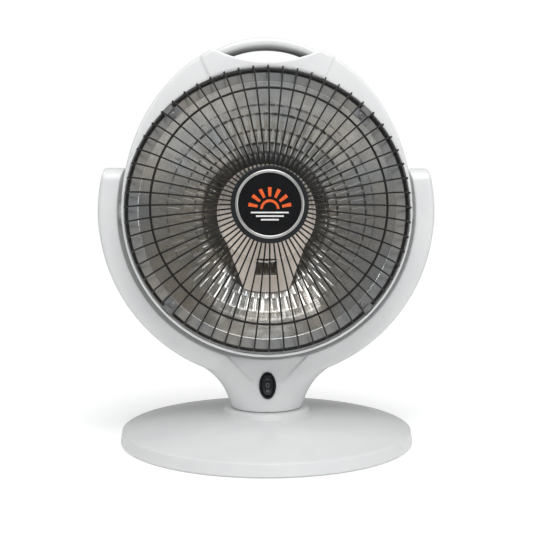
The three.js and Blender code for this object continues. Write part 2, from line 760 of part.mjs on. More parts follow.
function makeCoil() {
  const steps = COIL_FACETS * COIL_TURNS;
  const sag = CORE_RADIUS * (1 - Math.cos(Math.PI / COIL_FACETS));
  const start = coreBack - 6 - GAP - COIL_WIRE;
  const length = CORE_LENGTH - 14;
  const points = Array.from({ length: steps + 1 }, (_, i) => {
    const share = i / steps;
    const r = coreRadiusAt(share * (length / (CORE_LENGTH - 8))) + COIL_WIRE / 2 + GAP + sag;
    const a = 2 * Math.PI * COIL_TURNS * share;
    return new THREE.Vector3(r * Math.cos(a), start - length * share, r * Math.sin(a));
  });
  const section = new THREE.Shape(
    Array.from({ length: 4 }, (_, i) => {
      const a = (Math.PI / 2) * i;
      return new THREE.Vector2((COIL_WIRE / 2) * Math.cos(a), (COIL_WIRE / 2) * Math.sin(a));
    }),
  );
  const extrudePath = new THREE.CatmullRomCurve3(points);
  return solid(new THREE.ExtrudeGeometry(section, { extrudePath, steps, bevelEnabled: false }));
}

function makeSocket() {
  const neck = SOCKET_BORE - GAP;
  const seat = dishY(SOCKET_BORE) + SHEET + GAP;
  const body = turned(
    [
      [0, socketFront],
      [neck, socketFront],
      [neck, seat],
      [SOCKET_BORE + SOCKET_RIM, seat],
      [SOCKET_BORE + SOCKET_RIM, seat + 4],
      [SOCKET_BORE - 2, seat + SOCKET_DEPTH],
      [0, seat + SOCKET_DEPTH],
    ],
    MEDIUM,
  );
  return cut(body, rod(STEM_RADIUS + GAP, socketFront - 5, socketFront + 8 + GAP));
}

// Sits square on the dish's back, above the socket.
function makeCutout() {
  const r = DISH_RADIUS / 2;
  const slope = Math.atan((2 * DISH_DEPTH * r) / DISH_RADIUS ** 2);
  const body = union(rod(CUTOUT_RADIUS, GAP, GAP + 2), rod(0.7 * CUTOUT_RADIUS, GAP, GAP + 9));
  const tilted = body.rotate([THREE.MathUtils.radToDeg(slope), 0, 0]);
  return moved(tilted, 0, dishY(r) + SHEET, r);
}

// ---------------------------------------------------------------- the pivots
const bushCollar = TRUNNION_RADIUS + BUSH_WALL + 2.5;
const bushSleeve = TRUNNION_RADIUS + BUSH_WALL;
const draftAtBush = HOUSING_DRAFT * ((-bushCollar - widestY) / (HOUSING_BACK - widestY));
const bushInnerX = housingRadius - draftAtBush + RUNNING_GAP;
const facetDip = bushCollar * Math.tan(Math.PI / FINE); // of the arm's inner side, at the collar's edge
const bushOuterX = Math.sqrt(yokeInner ** 2 - bushCollar ** 2) - facetDip - GAP;
const sleeveEnd = yokeInner + WALL + 1.5;
const washerX = sleeveEnd + GAP;
const nutX = washerX + PIVOT_WASHER + GAP;

// Right-hand pieces, along +X; the left ones are the same turned round.
function makeTrunnion() {
  const flangeX = pivotBossX - GAP;
  return turned(
    [
      [0, flangeX - 3],
      [TRUNNION_RADIUS + 5, flangeX - 3],
      [TRUNNION_RADIUS + 5, flangeX],
      [TRUNNION_RADIUS, flangeX],
      [TRUNNION_RADIUS, nutX + NUT_HEIGHT + 1],
      [0, nutX + NUT_HEIGHT + 1],
    ],
    COARSE,
  ).rotate([0, 0, -90]);
}

function makeBush() {
  const bore = TRUNNION_RADIUS + RUNNING_GAP;
  return turned(
    [
      [bore, bushInnerX],
      [bushCollar - 1, bushInnerX],
      [bushCollar, bushInnerX + 1],
      [bushCollar, bushOuterX],
      [bushSleeve, bushOuterX],
      [bushSleeve, sleeveEnd],
      [bore, sleeveEnd],
      [bore, bushInnerX],
    ],
    COARSE,
  ).rotate([0, 0, -90]);
}

const makePivotWasher = () =>
  turned(
    ringProfile(TRUNNION_RADIUS + GAP, bushSleeve, washerX, washerX + PIVOT_WASHER),
    COARSE,
  ).rotate([0, 0, -90]);

const makePivotNut = () =>
  cut(
    sideRod(bushSleeve, nutX, nutX + NUT_HEIGHT, 6),
    sideRod(TRUNNION_RADIUS + GAP, nutX - 1, nutX + NUT_HEIGHT + 1),
  );

// ---------------------------------------------------------------- the yoke
const neckTop = -(yokeInner - 4);
const neckShare = (z) => (z - neckFoot) / (neckTop - neckFoot);
const neckDepth = (z) => NECK_HALF_DEPTH + (ARM_DEPTH / 2 - NECK_HALF_DEPTH) * neckShare(z);
const switchZ = -(yokeOuter + SWITCH_DROP);
const switchY = -neckDepth(switchZ) + PANEL_SINK;

// A rounded cross-section: an ellipse at the foot that squares up as it rises.
function neckSection(z, level, inset) {
  const share = neckShare(z);
  const flare = NECK_TAPER * share + NECK_FLARE * share ** FLARE_SHARPNESS;
  const halfWidth = NECK_HALF_WIDTH + flare - inset;
  const halfDepth = neckDepth(z) - inset;
  const power = 2 / (2 + 1.6 * share);
  const corners = inset > 0 ? COARSE : 20;
  return Array.from({ length: corners }, (_, i) => {
    const a = (2 * Math.PI * i) / corners;
    const round = (v) => Math.sign(v) * Math.abs(v) ** power;
    return new THREE.Vector3(halfWidth * round(Math.cos(a)), halfDepth * round(Math.sin(a)), level);
  });
}

// What the leaning switch panel takes off the neck, or off its cavity when inset.
function panelRecess(inset) {
  const w = SWITCH_HALF_WIDTH + 3.5 + inset;
  const h = SWITCH_HALF_HEIGHT + 2.5 + inset;
  const rise = -(yokeInner - 20) - switchZ;
  const outline = new THREE.Shape();
  outline.moveTo(w + rise, rise);
  outline.lineTo(-w - rise, rise);
  outline.lineTo(-w, 0);
  outline.absellipse(0, 0, w, h, Math.PI, 2 * Math.PI, false);
  outline.closePath();
  const reach = 2 * NECK_HALF_DEPTH + rise;
  const front = block(-3 * reach, 3 * reach, -reach, 0, -3 * reach, 3 * reach);
  const plane = moved(front.rotate([-PANEL_SLOPE, 0, 0]), 0, inset / Math.cos(rad(PANEL_SLOPE)), 0);
  return moved(plate(outline, -reach, reach).intersect(plane), 0, switchY, switchZ);
}

// The yoke from outside, or its cavity when inset by the wall. Its hollow side is a barrel that the head
// swings in.
function yokeForm(inset) {
  const half = ARM_DEPTH / 2 - inset;
  const outer = yokeOuter - inset;
  const edge = ARM_EDGE - 0.6 * inset;
  const barrel = [-1, -0.36, 0.36, 1].map((share) => {
    const y = (share * ARM_DEPTH) / 2;
    return [Math.sqrt(yokeInner ** 2 - y ** 2) + inset, y];
  });
  const hollow = turned([[0, barrel[0][1]], ...barrel, [0, barrel.at(-1)[1]]]);
  const band = turned([
    [outer - ARM_WIDTH, -half],
    [outer - edge, -half],
    [outer, -half + edge],
    [outer, half - edge],
    [outer - edge, half],
    [outer - ARM_WIDTH, half],
    [outer - ARM_WIDTH, -half],
  ]);
  const shoulder = ARM_RISE - ARM_CAP;
  const cap = sideRod(half, -FAR, FAR, 2 * SMALL).scale([1, 1, (ARM_CAP - inset) / half]);
  const below = union(block(-FAR, FAR, -half, half, -FAR, shoulder), moved(cap, 0, 0, shoulder));
  const levels = inset > 0 ? 3 : 5;
  const neck = loft(
    Array.from({ length: levels + 1 }, (_, i) => {
      const z = neckFoot + (neckTop - neckFoot) * (i / levels) ** 0.7;
      const open = i === 0 && inset > 0 ? 2 : 0;
      return neckSection(z, z - open, inset);
    }),
  );
  return cut(union(band.intersect(below), neck), hollow, panelRecess(inset));
}

const yokeScrewRadius = (yokeInner + yokeOuter) / 2;
const yokeScrewSeat = ARM_DEPTH / 2 - YOKE_SCREW_SINK;
const neckBoltY = NECK_HALF_DEPTH - NECK_BOLT_EDGE;

function makeYokeShell(front) {
  const side = front ? -1 : 1;
  const whole = yokeForm(0);
  const near = side * (GAP / 2);
  const keep = front ? block(-FAR, FAR, -FAR, near, -FAR, FAR) : block(-FAR, FAR, near, FAR, -FAR, FAR);
  const atScrews = (radius, low, high) =>
    around(moved(rod(radius, low, high, SMALL), yokeScrewRadius, 0, 0), YOKE_SCREW_ANGLES);
  const atBolt = (radius, low, high) =>
    moved(upRod(radius, neckFoot + low, neckFoot + high, SMALL), 0, side * neckBoltY, 0);
  const boltBoss = atBolt(BOLT_RADIUS + 3, 0, NECK_BOLT_THREAD + 3);
  const posts = atScrews(BOSS_RADIUS, -ARM_DEPTH, ARM_DEPTH);
  const bosses = [...posts, boltBoss].map((post) => post.intersect(whole));
  const bushHole = sideRod(bushSleeve + GAP, yokeInner - 5, yokeInner + WALL + 2);
  const holes = atScrews(screwBore, front ? WALL - ARM_DEPTH / 2 : -yokeScrewSeat, ARM_DEPTH);
  const boltHole = atBolt(BOLT_RADIUS + GAP, -5, NECK_BOLT_THREAD + 1);
  const shell = cut(whole, yokeForm(WALL));
  const fitted = cut(
    union(shell, bosses).intersect(keep),
    holes,
    boltHole,
    bushHole,
    bushHole.rotate([0, 0, 180]),
  );
  return cut(fitted, front ? switchHole() : atScrews(screwHead + GAP, yokeScrewSeat, ARM_DEPTH));
}

// ---------------------------------------------------------------- the switch
// An oval that stands on its end, smaller all round by the inset.
function oval(inset) {
  const shape = new THREE.Shape();
  shape.absellipse(0, 0, SWITCH_HALF_WIDTH - inset, SWITCH_HALF_HEIGHT - inset, 0, 2 * Math.PI, false);
  return shape;
}

const sleeveInset = SWITCH_RIM / 2;
const sleeveDepth = WALL + 3;

const switchGroup = new THREE.Group();
switchGroup.position.set(0, switchY, switchZ);
switchGroup.rotation.x = -rad(PANEL_SLOPE);
yokeGroup.add(switchGroup);

function switchHole() {
  const hole = plate(oval(sleeveInset - GAP), -THROUGH / 2, THROUGH / 2);
  return moved(hole.rotate([-PANEL_SLOPE, 0, 0]), 0, switchY, switchZ);
}

function makeSwitchFrame() {
  const rim = union(plate(oval(0), -1.4, -GAP), plate(oval(0.8), -2, -1));
  const sleeve = plate(oval(sleeveInset), -1, sleeveDepth);
  const bearing = sideRod(ROCKER_AXLE + RUNNING_GAP, -THROUGH, THROUGH, SMALL);
  const through = plate(oval(SWITCH_RIM), -THROUGH, THROUGH);
  return cut(union(rim, sleeve), through, moved(bearing, 0, ROCKER_AXLE_SINK, 0));
}

function makeRocker() {
  const inset = SWITCH_RIM + ROCKER_GAP;
  const reach = SWITCH_HALF_HEIGHT - inset;
  const rear = 3;
  const ahead = ROCKER_AXLE_SINK + ROCKER_PROUD;
  const end = Math.sqrt(reach ** 2 - ahead ** 2);
  const profile = [];
  const steps = 6;
  for (let i = 0; i <= steps; i++) {
    const share = (2 * i) / steps - 1;
    profile.push([end * share, -ROCKER_PROUD + 1.1 * (1 - share ** 2)]);
  }
  const low = Math.atan2(rear - ROCKER_AXLE_SINK, reach);
  const high = Math.asin(ahead / reach);
  const endSteps = 3;
  const ends = Array.from({ length: endSteps }, (_, i) => {
    const a = high - ((high + low) * (i + 1)) / endSteps;
    return [reach * Math.cos(a), ROCKER_AXLE_SINK - reach * Math.sin(a)];
  });
  profile.push(...ends, ...ends.map(([x, y]) => [-x, y]).reverse());
  const side = strip(profile, 4 * SWITCH_HALF_WIDTH).rotate([0, -90, 0]);
  const paddle = side.intersect(plate(oval(inset), -THROUGH, THROUGH));
  const axle = moved(
    sideRod(ROCKER_AXLE, -SWITCH_HALF_WIDTH + sleeveInset, SWITCH_HALF_WIDTH - sleeveInset, SMALL),
    0,
    ROCKER_AXLE_SINK,
    0,
  );
  return union(paddle, axle);
}

function makeSwitchBody() {
  const front = sleeveDepth + GAP;
  return union(
    plate(oval(sleeveInset), front, front + 3),
    block(-6, 6, front, front + 12, -10.5, 10.5),
    [-6, 0, 6].map((z) => block(-2, 2, front + 11, front + 18, z - 0.4, z + 0.4)),
  );
}

// ---------------------------------------------------------------- the base
const plateLow = FOOT_HEIGHT + 1.2;
const plateTop = plateLow + PLATE_SHEET;
const rimTopRadius = BASE_RADIUS - BASE_DRAFT;
const baseScrewCircle = 0.72 * BASE_RADIUS;
const straights = [0, 90, 180, 270]; // degrees round the base, for its screws
const frontAndBack = [90, 270]; // for the neck's bolts
const glandZ = plateTop + GAP + GLAND_RISE;
const glandWallFront = BASE_RADIUS - GLAND_SINK;
const glandWallBack = glandWallFront - WALL;

// The cover's outline from the rim up to the collar, or its underside when inset.
function coverProfile(inset, domeSteps) {
  const r = rimTopRadius - inset;
  const collar = COLLAR_RADIUS - inset;
  const points = [
    [BASE_RADIUS - inset, FOOT_HEIGHT],
    [r + 0.4, rimTop - 2 - inset],
  ];
  for (let i = 0; i <= domeSteps; i++) {
    const share = 1 - i / domeSteps;
    const radius = collar + 3 + (r - 2 - collar - 3) * share;
    points.push([radius, rimTop - inset + DOME_RISE * (1 - share ** 1.6)]);
  }
  points.push([collar, domeTop + 0.6 * COLLAR_RISE - inset], [collar - 3, collarTop - inset]);
  return points;
}

function makeBaseCover() {
  const outside = coverProfile(0, 3);
  const inside = coverProfile(WALL, 1);
  const shell = turnedUp([
    ...outside,
    [WIRE_WAY, collarTop],
    [WIRE_WAY, collarTop - WALL],
    ...inside.reverse(),
    outside[0],
  ]);
  const whole = turnedUp([[0, FOOT_HEIGHT], ...outside, [0, collarTop]]);
  const boss = upRod(BOSS_RADIUS, plateTop + GAP, collarTop, SMALL);
  const bosses = onCircle(boss, baseScrewCircle, straights).map((each) => each.intersect(whole));
  const pilots = onCircle(
    upRod(screwBore, FOOT_HEIGHT, plateTop + BASE_SCREW_LENGTH, SMALL),
    baseScrewCircle,
    straights,
  );
  const boltHole = upRod(BOLT_RADIUS + GAP, domeTop - 5, collarTop + 5, SMALL);
  const boltHoles = onCircle(boltHole, neckBoltY, frontAndBack);
  // The cord's way in is a pocket in the back of the rim.
  const pocketWalls = block(
    -GLAND_POCKET - WALL,
    GLAND_POCKET + WALL,
    glandWallBack,
    BASE_RADIUS,
    plateTop + GAP,
    rimTop,
  ).intersect(whole);
  const pocket = block(
    -GLAND_POCKET,
    GLAND_POCKET,
    glandWallFront,
    BASE_RADIUS + 5,
    glandZ - GLAND_POCKET,
    glandZ + GLAND_POCKET,
  );
  const glandHole = moved(rod(GLAND_RADIUS + GAP, 0, BASE_RADIUS), 0, 0, glandZ);
  const rearHalf = block(-10, 10, BASE_RADIUS - 30, BASE_RADIUS + 5, 0, rimTop);
  return cut(union(shell, bosses, pocketWalls), pilots, boltHoles, pocket, glandHole.intersect(rearHalf));
}

function makeGland() {
  const body = turned(
    [
      [0, glandWallBack - 3],
      [GLAND_RADIUS - 0.6, glandWallBack - 3],
      [GLAND_RADIUS, glandWallBack],
      [GLAND_RADIUS, glandWallFront + GAP],
      [GLAND_RADIUS + 0.8, glandWallFront + GAP],
      [GLAND_RADIUS + 0.4, BASE_RADIUS - 1],
      [0, BASE_RADIUS - 1],
    ],
    COARSE,
  );
  return moved(cut(body, rod(GLAND_RADIUS - 1.4, 0, 2 * BASE_RADIUS)), 0, 0, glandZ);
}

const plungerX = 0.22 * BASE_RADIUS; // clear of the collar's wires
const footCircle = 0.84 * BASE_RADIUS;

function makeBasePlate() {
  const disc = upRod(BASE_RADIUS - WALL - 1.2, plateLow, plateTop, FINE);
  const holes = onCircle(upRod(screwBore, 0, 2 * plateTop, SMALL), baseScrewCircle, straights);
  const plungerHole = moved(upRod(PLUNGER_RADIUS + RUNNING_GAP, 0, 2 * plateTop), plungerX, 0, 0);
  return cut(disc, holes, plungerHole);
}

const makeWeight = () =>
  turnedUp(
    ringProfile(
      COLLAR_RADIUS + 12,
      baseScrewCircle - BOSS_RADIUS - 3,
      plateTop + GAP,
      plateTop + GAP + WEIGHT_THICKNESS,
    ),
    MEDIUM,
  );

const makeFoot = () =>
  turnedUp(
    [
      [0, 0],
      [FOOT_RADIUS - 1, 0],
      [FOOT_RADIUS, plateLow - GAP],
      [0, plateLow - GAP],
    ],
    COARSE,
  );

const clampTop = collarTop - WALL - GAP;
const neckBoltSeat = clampTop - CLAMP_SHEET - GAP;
const neckBoltReach = collarTop + GAP + NECK_BOLT_THREAD - neckBoltSeat;

function makeNeckClamp() {
  const ring = turnedUp(
    ringProfile(WIRE_WAY - 2, COLLAR_RADIUS - WALL - 4, clampTop - CLAMP_SHEET, clampTop),
    MEDIUM,
  );
  return cut(ring, onCircle(upRod(BOLT_RADIUS + GAP, 0, collarTop, SMALL), neckBoltY, frontAndBack));
}

// The tip-over switch: a plunger that the floor pushes up into a body on the base plate.
const bodyLow = plateTop + GAP;
const bodyTop = bodyLow + PLUNGER_TRAVEL + TIP_BODY_ROOM;

function makeTipBody() {
  const half = PLUNGER_COLLAR + 3;
  const body = block(plungerX - half, plungerX + half, -half, half, bodyLow, bodyTop);
  const tabs = block(plungerX - 2 * half, plungerX + 2 * half, -half / 2, half / 2, bodyLow, bodyLow + 2);
  const bore = moved(upRod(PLUNGER_COLLAR + RUNNING_GAP, bodyLow - 1, bodyTop - 2), plungerX, 0, 0);
  return cut(union(body, tabs), bore);
}

// When the heater is lifted, the plunger drops until its collar lies on the base plate.
function makePlunger() {
  const collarLow = plateTop + GAP + PLUNGER_TRAVEL;
  const profile = [
    [0, 0],
    [PLUNGER_RADIUS - 1, 0],
    [PLUNGER_RADIUS, 1],
    [PLUNGER_RADIUS, collarLow],
    [PLUNGER_COLLAR, collarLow],
    [PLUNGER_COLLAR, collarLow + 2],
    [PLUNGER_RADIUS - 1, collarLow + 2],
    [PLUNGER_RADIUS - 1, bodyTop - 2 - GAP],
    [0, bodyTop - 2 - GAP],
  ];
  return moved(turnedUp(profile, COARSE), plungerX, 0, 0);
}

function makeTerminalBlock() {
  const pitch = TERMINAL_WIDTH / TERMINAL_WAYS;
  const half = TERMINAL_WIDTH / 2;
  const deep = 0.9 * pitch;
  const body = block(-half, half, -deep, deep, 0, 1.1 * pitch);
  const ways = Array.from({ length: TERMINAL_WAYS }, (_, i) =>
    moved(rod(pitch / 4, -THROUGH, THROUGH, SMALL), pitch * (i + 0.5) - half, 0, 0.6 * pitch),
  );
  return moved(cut(body, ways), -plungerX, 0, bodyLow);
}

// ---------------------------------------------------------------- assembly
const turnedRound = (manifold) => manifold.rotate([0, 0, 180]);
const screwUp = (seat, length, radius) => screwSolid(seat, length, radius).rotate([90, 0, 0]);
const screwForward = (seat, length) => screwSolid(-seat, length).rotate([180, 0, 0]);

place(stand, "base_cover", makeBaseCover(), white);
place(stand, "base_plate", makeBasePlate(), steel);
place(stand, "counterweight", makeWeight(), iron);
placeEach(stand, "foot", onCircle(makeFoot(), footCircle, diagonals), rubber);
placeEach(
  stand,
  "base_screw",
  onCircle(screwUp(plateLow - GAP, BASE_SCREW_LENGTH), baseScrewCircle, straights),
  steel,
);
place(stand, "cord_gland", makeGland(), black);
place(stand, "neck_clamp", makeNeckClamp(), steel);
placeEach(
  stand,
  "neck_bolt",
  onCircle(screwUp(neckBoltSeat, neckBoltReach, BOLT_RADIUS), neckBoltY, frontAndBack),
  steel,
);
place(stand, "tip_switch_body", makeTipBody(), black);
place(stand, "tip_switch_plunger", makePlunger(), nylon);
place(stand, "terminal_block", makeTerminalBlock(), nylon);

place(yokeGroup, "yoke_front", makeYokeShell(true), white);
place(yokeGroup, "yoke_back", makeYokeShell(false), white);
const yokeScrew = moved(screwForward(yokeScrewSeat + GAP, YOKE_SCREW_LENGTH), yokeScrewRadius, 0, 0);
placeEach(yokeGroup, "yoke_screw", around(yokeScrew, YOKE_SCREW_ANGLES), steel);
place(switchGroup, "switch_frame", makeSwitchFrame(), black);
place(switchGroup, "switch_rocker", makeRocker(), black);
place(switchGroup, "switch_body", makeSwitchBody(), black);
place(yokeGroup, "pivot_bush_right", makeBush(), white);
place(yokeGroup, "pivot_bush_left", turnedRound(makeBush()), white);

place(head, "front_housing", makeFrontHousing(), white);
place(head, "rear_housing", makeRearHousing(), black);
place(head, "reflector", makeReflector(), aluminium);
place(head, "wire_guard", makeGuard(), wireBlack);
placeEach(head, "guard_clip", around(makeClip(), diagonals), steel);
placeEach(
  head,
  "clip_screw",
  around(moved(screwSolid(clipScrewSeat, CLIP_SCREW_LENGTH), screwCircle, 0, 0), diagonals),
  steel,
);
placeEach(
  head,
  "rear_screw",
  around(moved(screwForward(rearScrewSeat + GAP, REAR_SCREW_LENGTH), screwCircle, 0, 0), diagonals),
  steel,
);
place(head, "guard_hub", makeHub(), black);
place(head, "hub_clamp", makeHubClamp(), black);
place(head, "badge_ring", makeBadgeRing(), silver);
place(head, "badge_face", makeBadgeFace(), black);
place(head, "element_shield", makeShield(), cream);
place(head, "element_core", makeCore(), ceramic);
place(head, "element_coil", makeCoil(), nichrome);
place(head, "element_socket", makeSocket(), ceramic);
place(head, "thermal_cutout", makeCutout(), black);
place(head, "trunnion_right", makeTrunnion(), steel);
place(head, "trunnion_left", turnedRound(makeTrunnion()), steel);
place(head, "pivot_washer_right", makePivotWasher(), steel);
place(head, "pivot_washer_left", turnedRound(makePivotWasher()), steel);
place(head, "pivot_nut_right", makePivotNut(), steel);
place(head, "pivot_nut_left", turnedRound(makePivotNut()), steel);

export default heater;
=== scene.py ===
# A parabolic electric heater: a polished dish behind a round wire guard, in a white moulded head with a
# carrying handle, tilting in a yoke that stands on a round base. Sizes are in millimetres; a piece goes to
# metres when it is put in its place.
import json
import math

import bmesh
import bpy
from mathutils import Matrix, Vector, noise


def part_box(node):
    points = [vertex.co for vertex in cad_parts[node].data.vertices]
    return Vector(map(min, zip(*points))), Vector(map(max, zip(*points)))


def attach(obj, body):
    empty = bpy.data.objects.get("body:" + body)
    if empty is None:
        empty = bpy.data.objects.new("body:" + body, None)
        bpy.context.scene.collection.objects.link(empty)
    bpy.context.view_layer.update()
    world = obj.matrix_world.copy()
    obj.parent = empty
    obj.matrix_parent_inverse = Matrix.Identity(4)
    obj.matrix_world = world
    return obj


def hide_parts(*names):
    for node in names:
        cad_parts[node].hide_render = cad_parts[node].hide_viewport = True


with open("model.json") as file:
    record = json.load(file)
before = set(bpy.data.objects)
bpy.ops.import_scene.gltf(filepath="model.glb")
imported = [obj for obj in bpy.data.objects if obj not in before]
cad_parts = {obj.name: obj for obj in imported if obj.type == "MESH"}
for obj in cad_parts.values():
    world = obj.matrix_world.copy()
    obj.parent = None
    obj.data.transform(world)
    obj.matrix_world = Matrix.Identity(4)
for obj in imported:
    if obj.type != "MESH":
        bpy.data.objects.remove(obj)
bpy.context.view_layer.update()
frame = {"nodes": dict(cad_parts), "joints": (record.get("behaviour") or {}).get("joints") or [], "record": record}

# -------------------------------- room, lamps and camera
# A white room with a pale floor. A broad soft lamp hangs above, a weaker one stands on each side, and two
# small ones give the dish its sparkle. The camera is about a metre away, near the middle of the head.
scene = bpy.context.scene
scene.view_settings.view_transform = "Standard"


def linear(code):
    """The linear colour of an sRGB hex value."""
    parts = [int(code[i : i + 2], 16) / 255 for i in (0, 2, 4)]
    return [c / 12.92 if c <= 0.04045 else ((c + 0.055) / 1.055) ** 2.4 for c in parts] + [1]


def add_node(tree, kind, inputs={}, **settings):
    """Adds a node with its settings; an input takes a value, an output or the first output of a node."""
    made = tree.nodes.new(kind)
    for name, value in settings.items():
        setattr(made, name, value)
    for name, value in inputs.items():
        if isinstance(value, bpy.types.Node):
            value = value.outputs[0]
        if isinstance(value, bpy.types.NodeSocket):
            tree.links.new(value, made.inputs[name])
        else:
            made.inputs[name].default_value = value
    return made


def seen_share(tree, plain, seen):
    """A number that is plain for the light itself, and seen where the eye meets it, also through glass."""
    path = add_node(tree, "ShaderNodeLightPath")
    rays = {0: path.outputs["Is Camera Ray"], 1: path.outputs["Is Transmission Ray"]}
    looked_at = add_node(tree, "ShaderNodeMath", rays, operation="MAXIMUM")
    return add_node(tree, "ShaderNodeMix", {0: looked_at, 2: plain, 3: seen})


room = bpy.data.worlds.new("white room")
room.use_nodes = True
room.node_tree.nodes.clear()
ROOM_LIGHT = 0.36
strength = seen_share(room.node_tree, ROOM_LIGHT, 1)
air = add_node(room.node_tree, "ShaderNodeBackground", {"Color": (1, 1, 1, 1), "Strength": strength})
add_node(room.node_tree, "ShaderNodeOutputWorld", {"Surface": air})
scene.world = room


def new_material(name):
    """An empty material and its node tree."""
    material = bpy.data.materials.new(name)
    material.use_nodes = True
    material.node_tree.nodes.clear()
    return material, material.node_tree


# Pale matt paint. It is seen brighter the farther it lies from the heater, so the far floor is as white as
# the room and the shadow stays where the heater stands. Its sizes are in metres.
floor_paint, tree = new_material("pale matt floor")
SHADOW_NEAR = 0.2
SHADOW_REACH = 1.2
SHADOW_GLOW = 0.42
FLOOR_GLOW = 0.8
FLOOR_BOUNCE = 0.15
FLOOR_SIZE = 40
place = add_node(tree, "ShaderNodeTexCoord")
away = add_node(tree, "ShaderNodeVectorMath", {0: place.outputs["Object"]}, operation="LENGTH")
ends = {0: away.outputs["Value"], 1: SHADOW_NEAR, 2: SHADOW_REACH, 3: SHADOW_GLOW, 4: FLOOR_GLOW}
glow = add_node(tree, "ShaderNodeMapRange", ends)
paint = {"Base Color": linear("EDEEEE"), "Roughness": 0.9, "Emission Color": (1, 1, 1, 1)}
paint["Emission Strength"] = seen_share(tree, FLOOR_BOUNCE, glow)
boards = add_node(tree, "ShaderNodeBsdfPrincipled", paint)
add_node(tree, "ShaderNodeOutputMaterial", {"Surface": boards})

bpy.ops.mesh.primitive_plane_add(size=FLOOR_SIZE)
floor = bpy.context.object
floor.name = "floor"
floor.data.materials.append(floor_paint)

AIM = Vector((0, 0, 0.24))
for name, place, size, power in (
    ("soft_top", (0.1, -0.6, 1.5), 1.1, 15.5),
    ("soft_left", (-1.3, -1.4, 0.45), 0.8, 0.4),
    ("soft_right", (1.4, -1.3, 0.5), 0.8, 0.8),
    ("spark_left", (-0.75, -1.25, 1.05), 0.1, 1.6),
    ("spark_right", (0.85, -1.2, 0.5), 0.1, 1.2),
):
    lamp = bpy.data.lights.new(name, "AREA")
    lamp.size = size
    lamp.energy = power
    holder = bpy.data.objects.new(name, lamp)
    holder.location = place
    holder.rotation_euler = (AIM - holder.location).to_track_quat("-Z", "Y").to_euler()
    scene.collection.objects.link(holder)

camera = bpy.data.cameras.new("camera")
IMAGE_WIDTH = 533
FOCAL_PIXELS = 875.69
LOOKS_DOWN = 2.846
LOOKS_RIGHT = 2.047
camera.sensor_width = 36
camera.lens = camera.sensor_width * FOCAL_PIXELS / IMAGE_WIDTH
viewer = bpy.data.objects.new("camera", camera)
viewer.location = (-0.03479, -0.96899, 0.23948)
viewer.rotation_euler = (math.radians(90 - LOOKS_DOWN), 0, -math.radians(LOOKS_RIGHT))
scene.collection.objects.link(viewer)
scene.camera = viewer

# -------------------------------- base cover
# A round ABS moulding with a low dome, a rim that leans in and a raised collar round the neck's foot.
# Injection moulded in a polished tool, so it is glossy, with a very slight waviness in its reflections.
BASE_RADIUS = 161
RIM_LOW = 1.5
RIM_HEIGHT = 13
RIM_LEAN = 2.4
DOME_RISE = 15
DOME_ROUND = 1.6
COLLAR_RADIUS = 46
COLLAR_RISE = 5.5
ABS_WALL = 2.5
WIRE_WAY = 20
rim_top = RIM_LOW + RIM_HEIGHT
dome_top = rim_top + DOME_RISE
collar_top = dome_top + COLLAR_RISE

floor_frame = Matrix.Scale(0.001, 4)


def rounded(corners, steps=5):
    """A profile with round corners, from (across, along, radius of the corner) triples."""
    points = []
    for i, (x, y, radius) in enumerate(corners):
        here = Vector((x, y))
        if radius == 0:
            points.append(here)
            continue
        back = Vector(corners[i - 1][:2]) - here
        ahead = Vector(corners[(i + 1) % len(corners)][:2]) - here
        half = back.angle(ahead) / 2
        reach = min(radius / math.tan(half), 0.49 * back.length, 0.49 * ahead.length)
        start = here + back.normalized() * reach
        end = here + ahead.normalized() * reach
        for step in range(steps + 1):
            t = step / steps
            points.append(start.lerp(here, t).lerp(here.lerp(end, t), t))
    return [tuple(p) for p in points]


def as_object(mesh_data):
    """A bmesh as an object in the scene, with its faces pointing out."""
    bmesh.ops.recalc_face_normals(mesh_data, faces=mesh_data.faces)
    mesh = bpy.data.meshes.new("form")
    mesh_data.to_mesh(mesh)
    mesh_data.free()
    made = bpy.data.objects.new("form", mesh)
    scene.collection.objects.link(made)
    return made


def skinned(rings, closed=True, ends=()):
    """A form over rings of points, of which one point is a tip; ends are the rings to fill with a face."""
    mesh_data = bmesh.new()
    made = [[mesh_data.verts.new(p) for p in ring] for ring in rings]
    count = max(len(ring) for ring in made)
    made = [ring * count if len(ring) == 1 else ring for ring in made]
    for low, high in zip(made, made[1:] + made[:1] if closed else made[1:]):
        for i in range(count):
            j = (i + 1) % count
            mesh_data.faces.new(dict.fromkeys((low[i], low[j], high[j], high[i])))
    for end in ends:
        mesh_data.faces.new(made[end])
    return as_object(mesh_data)


def circle(steps):
    """Points of a circle of radius one."""
    angles = [2 * math.pi * i / steps for i in range(steps)]
    return [(math.cos(a), math.sin(a)) for a in angles]


def turned(profile, steps=192):
    """A form turned about Y from (radius, y) pairs, which end on the axis or close on themselves."""
    rings = [[(r * c, y, r * s) for c, s in circle(steps if r > 0 else 1)] for r, y in profile]
    return skinned(rings, profile[0][0] > 0)


def raised(form):
    """Stands a form that runs along Y up along Z."""
    form.data.transform(Matrix.Rotation(math.pi / 2, 4, "X"))
    return form


def lofted(sections):
    """A closed form through sections of equally many points, with flat ends."""
    return skinned(sections, False, (0, -1))


def box(low, high):
    """A block between two corners."""
    (x0, y0, z0), (x1, y1, z1) = low, high
    return lofted([[(x0, y0, z), (x1, y0, z), (x1, y1, z), (x0, y1, z)] for z in (z0, z1)])


def apply_modifiers(form):
    """Turns an object's modifiers into mesh."""
    depsgraph = bpy.context.evaluated_depsgraph_get()
    settled = bpy.data.meshes.new_from_object(form.evaluated_get(depsgraph))
    form.modifiers.clear()
    form.data = settled
    return form


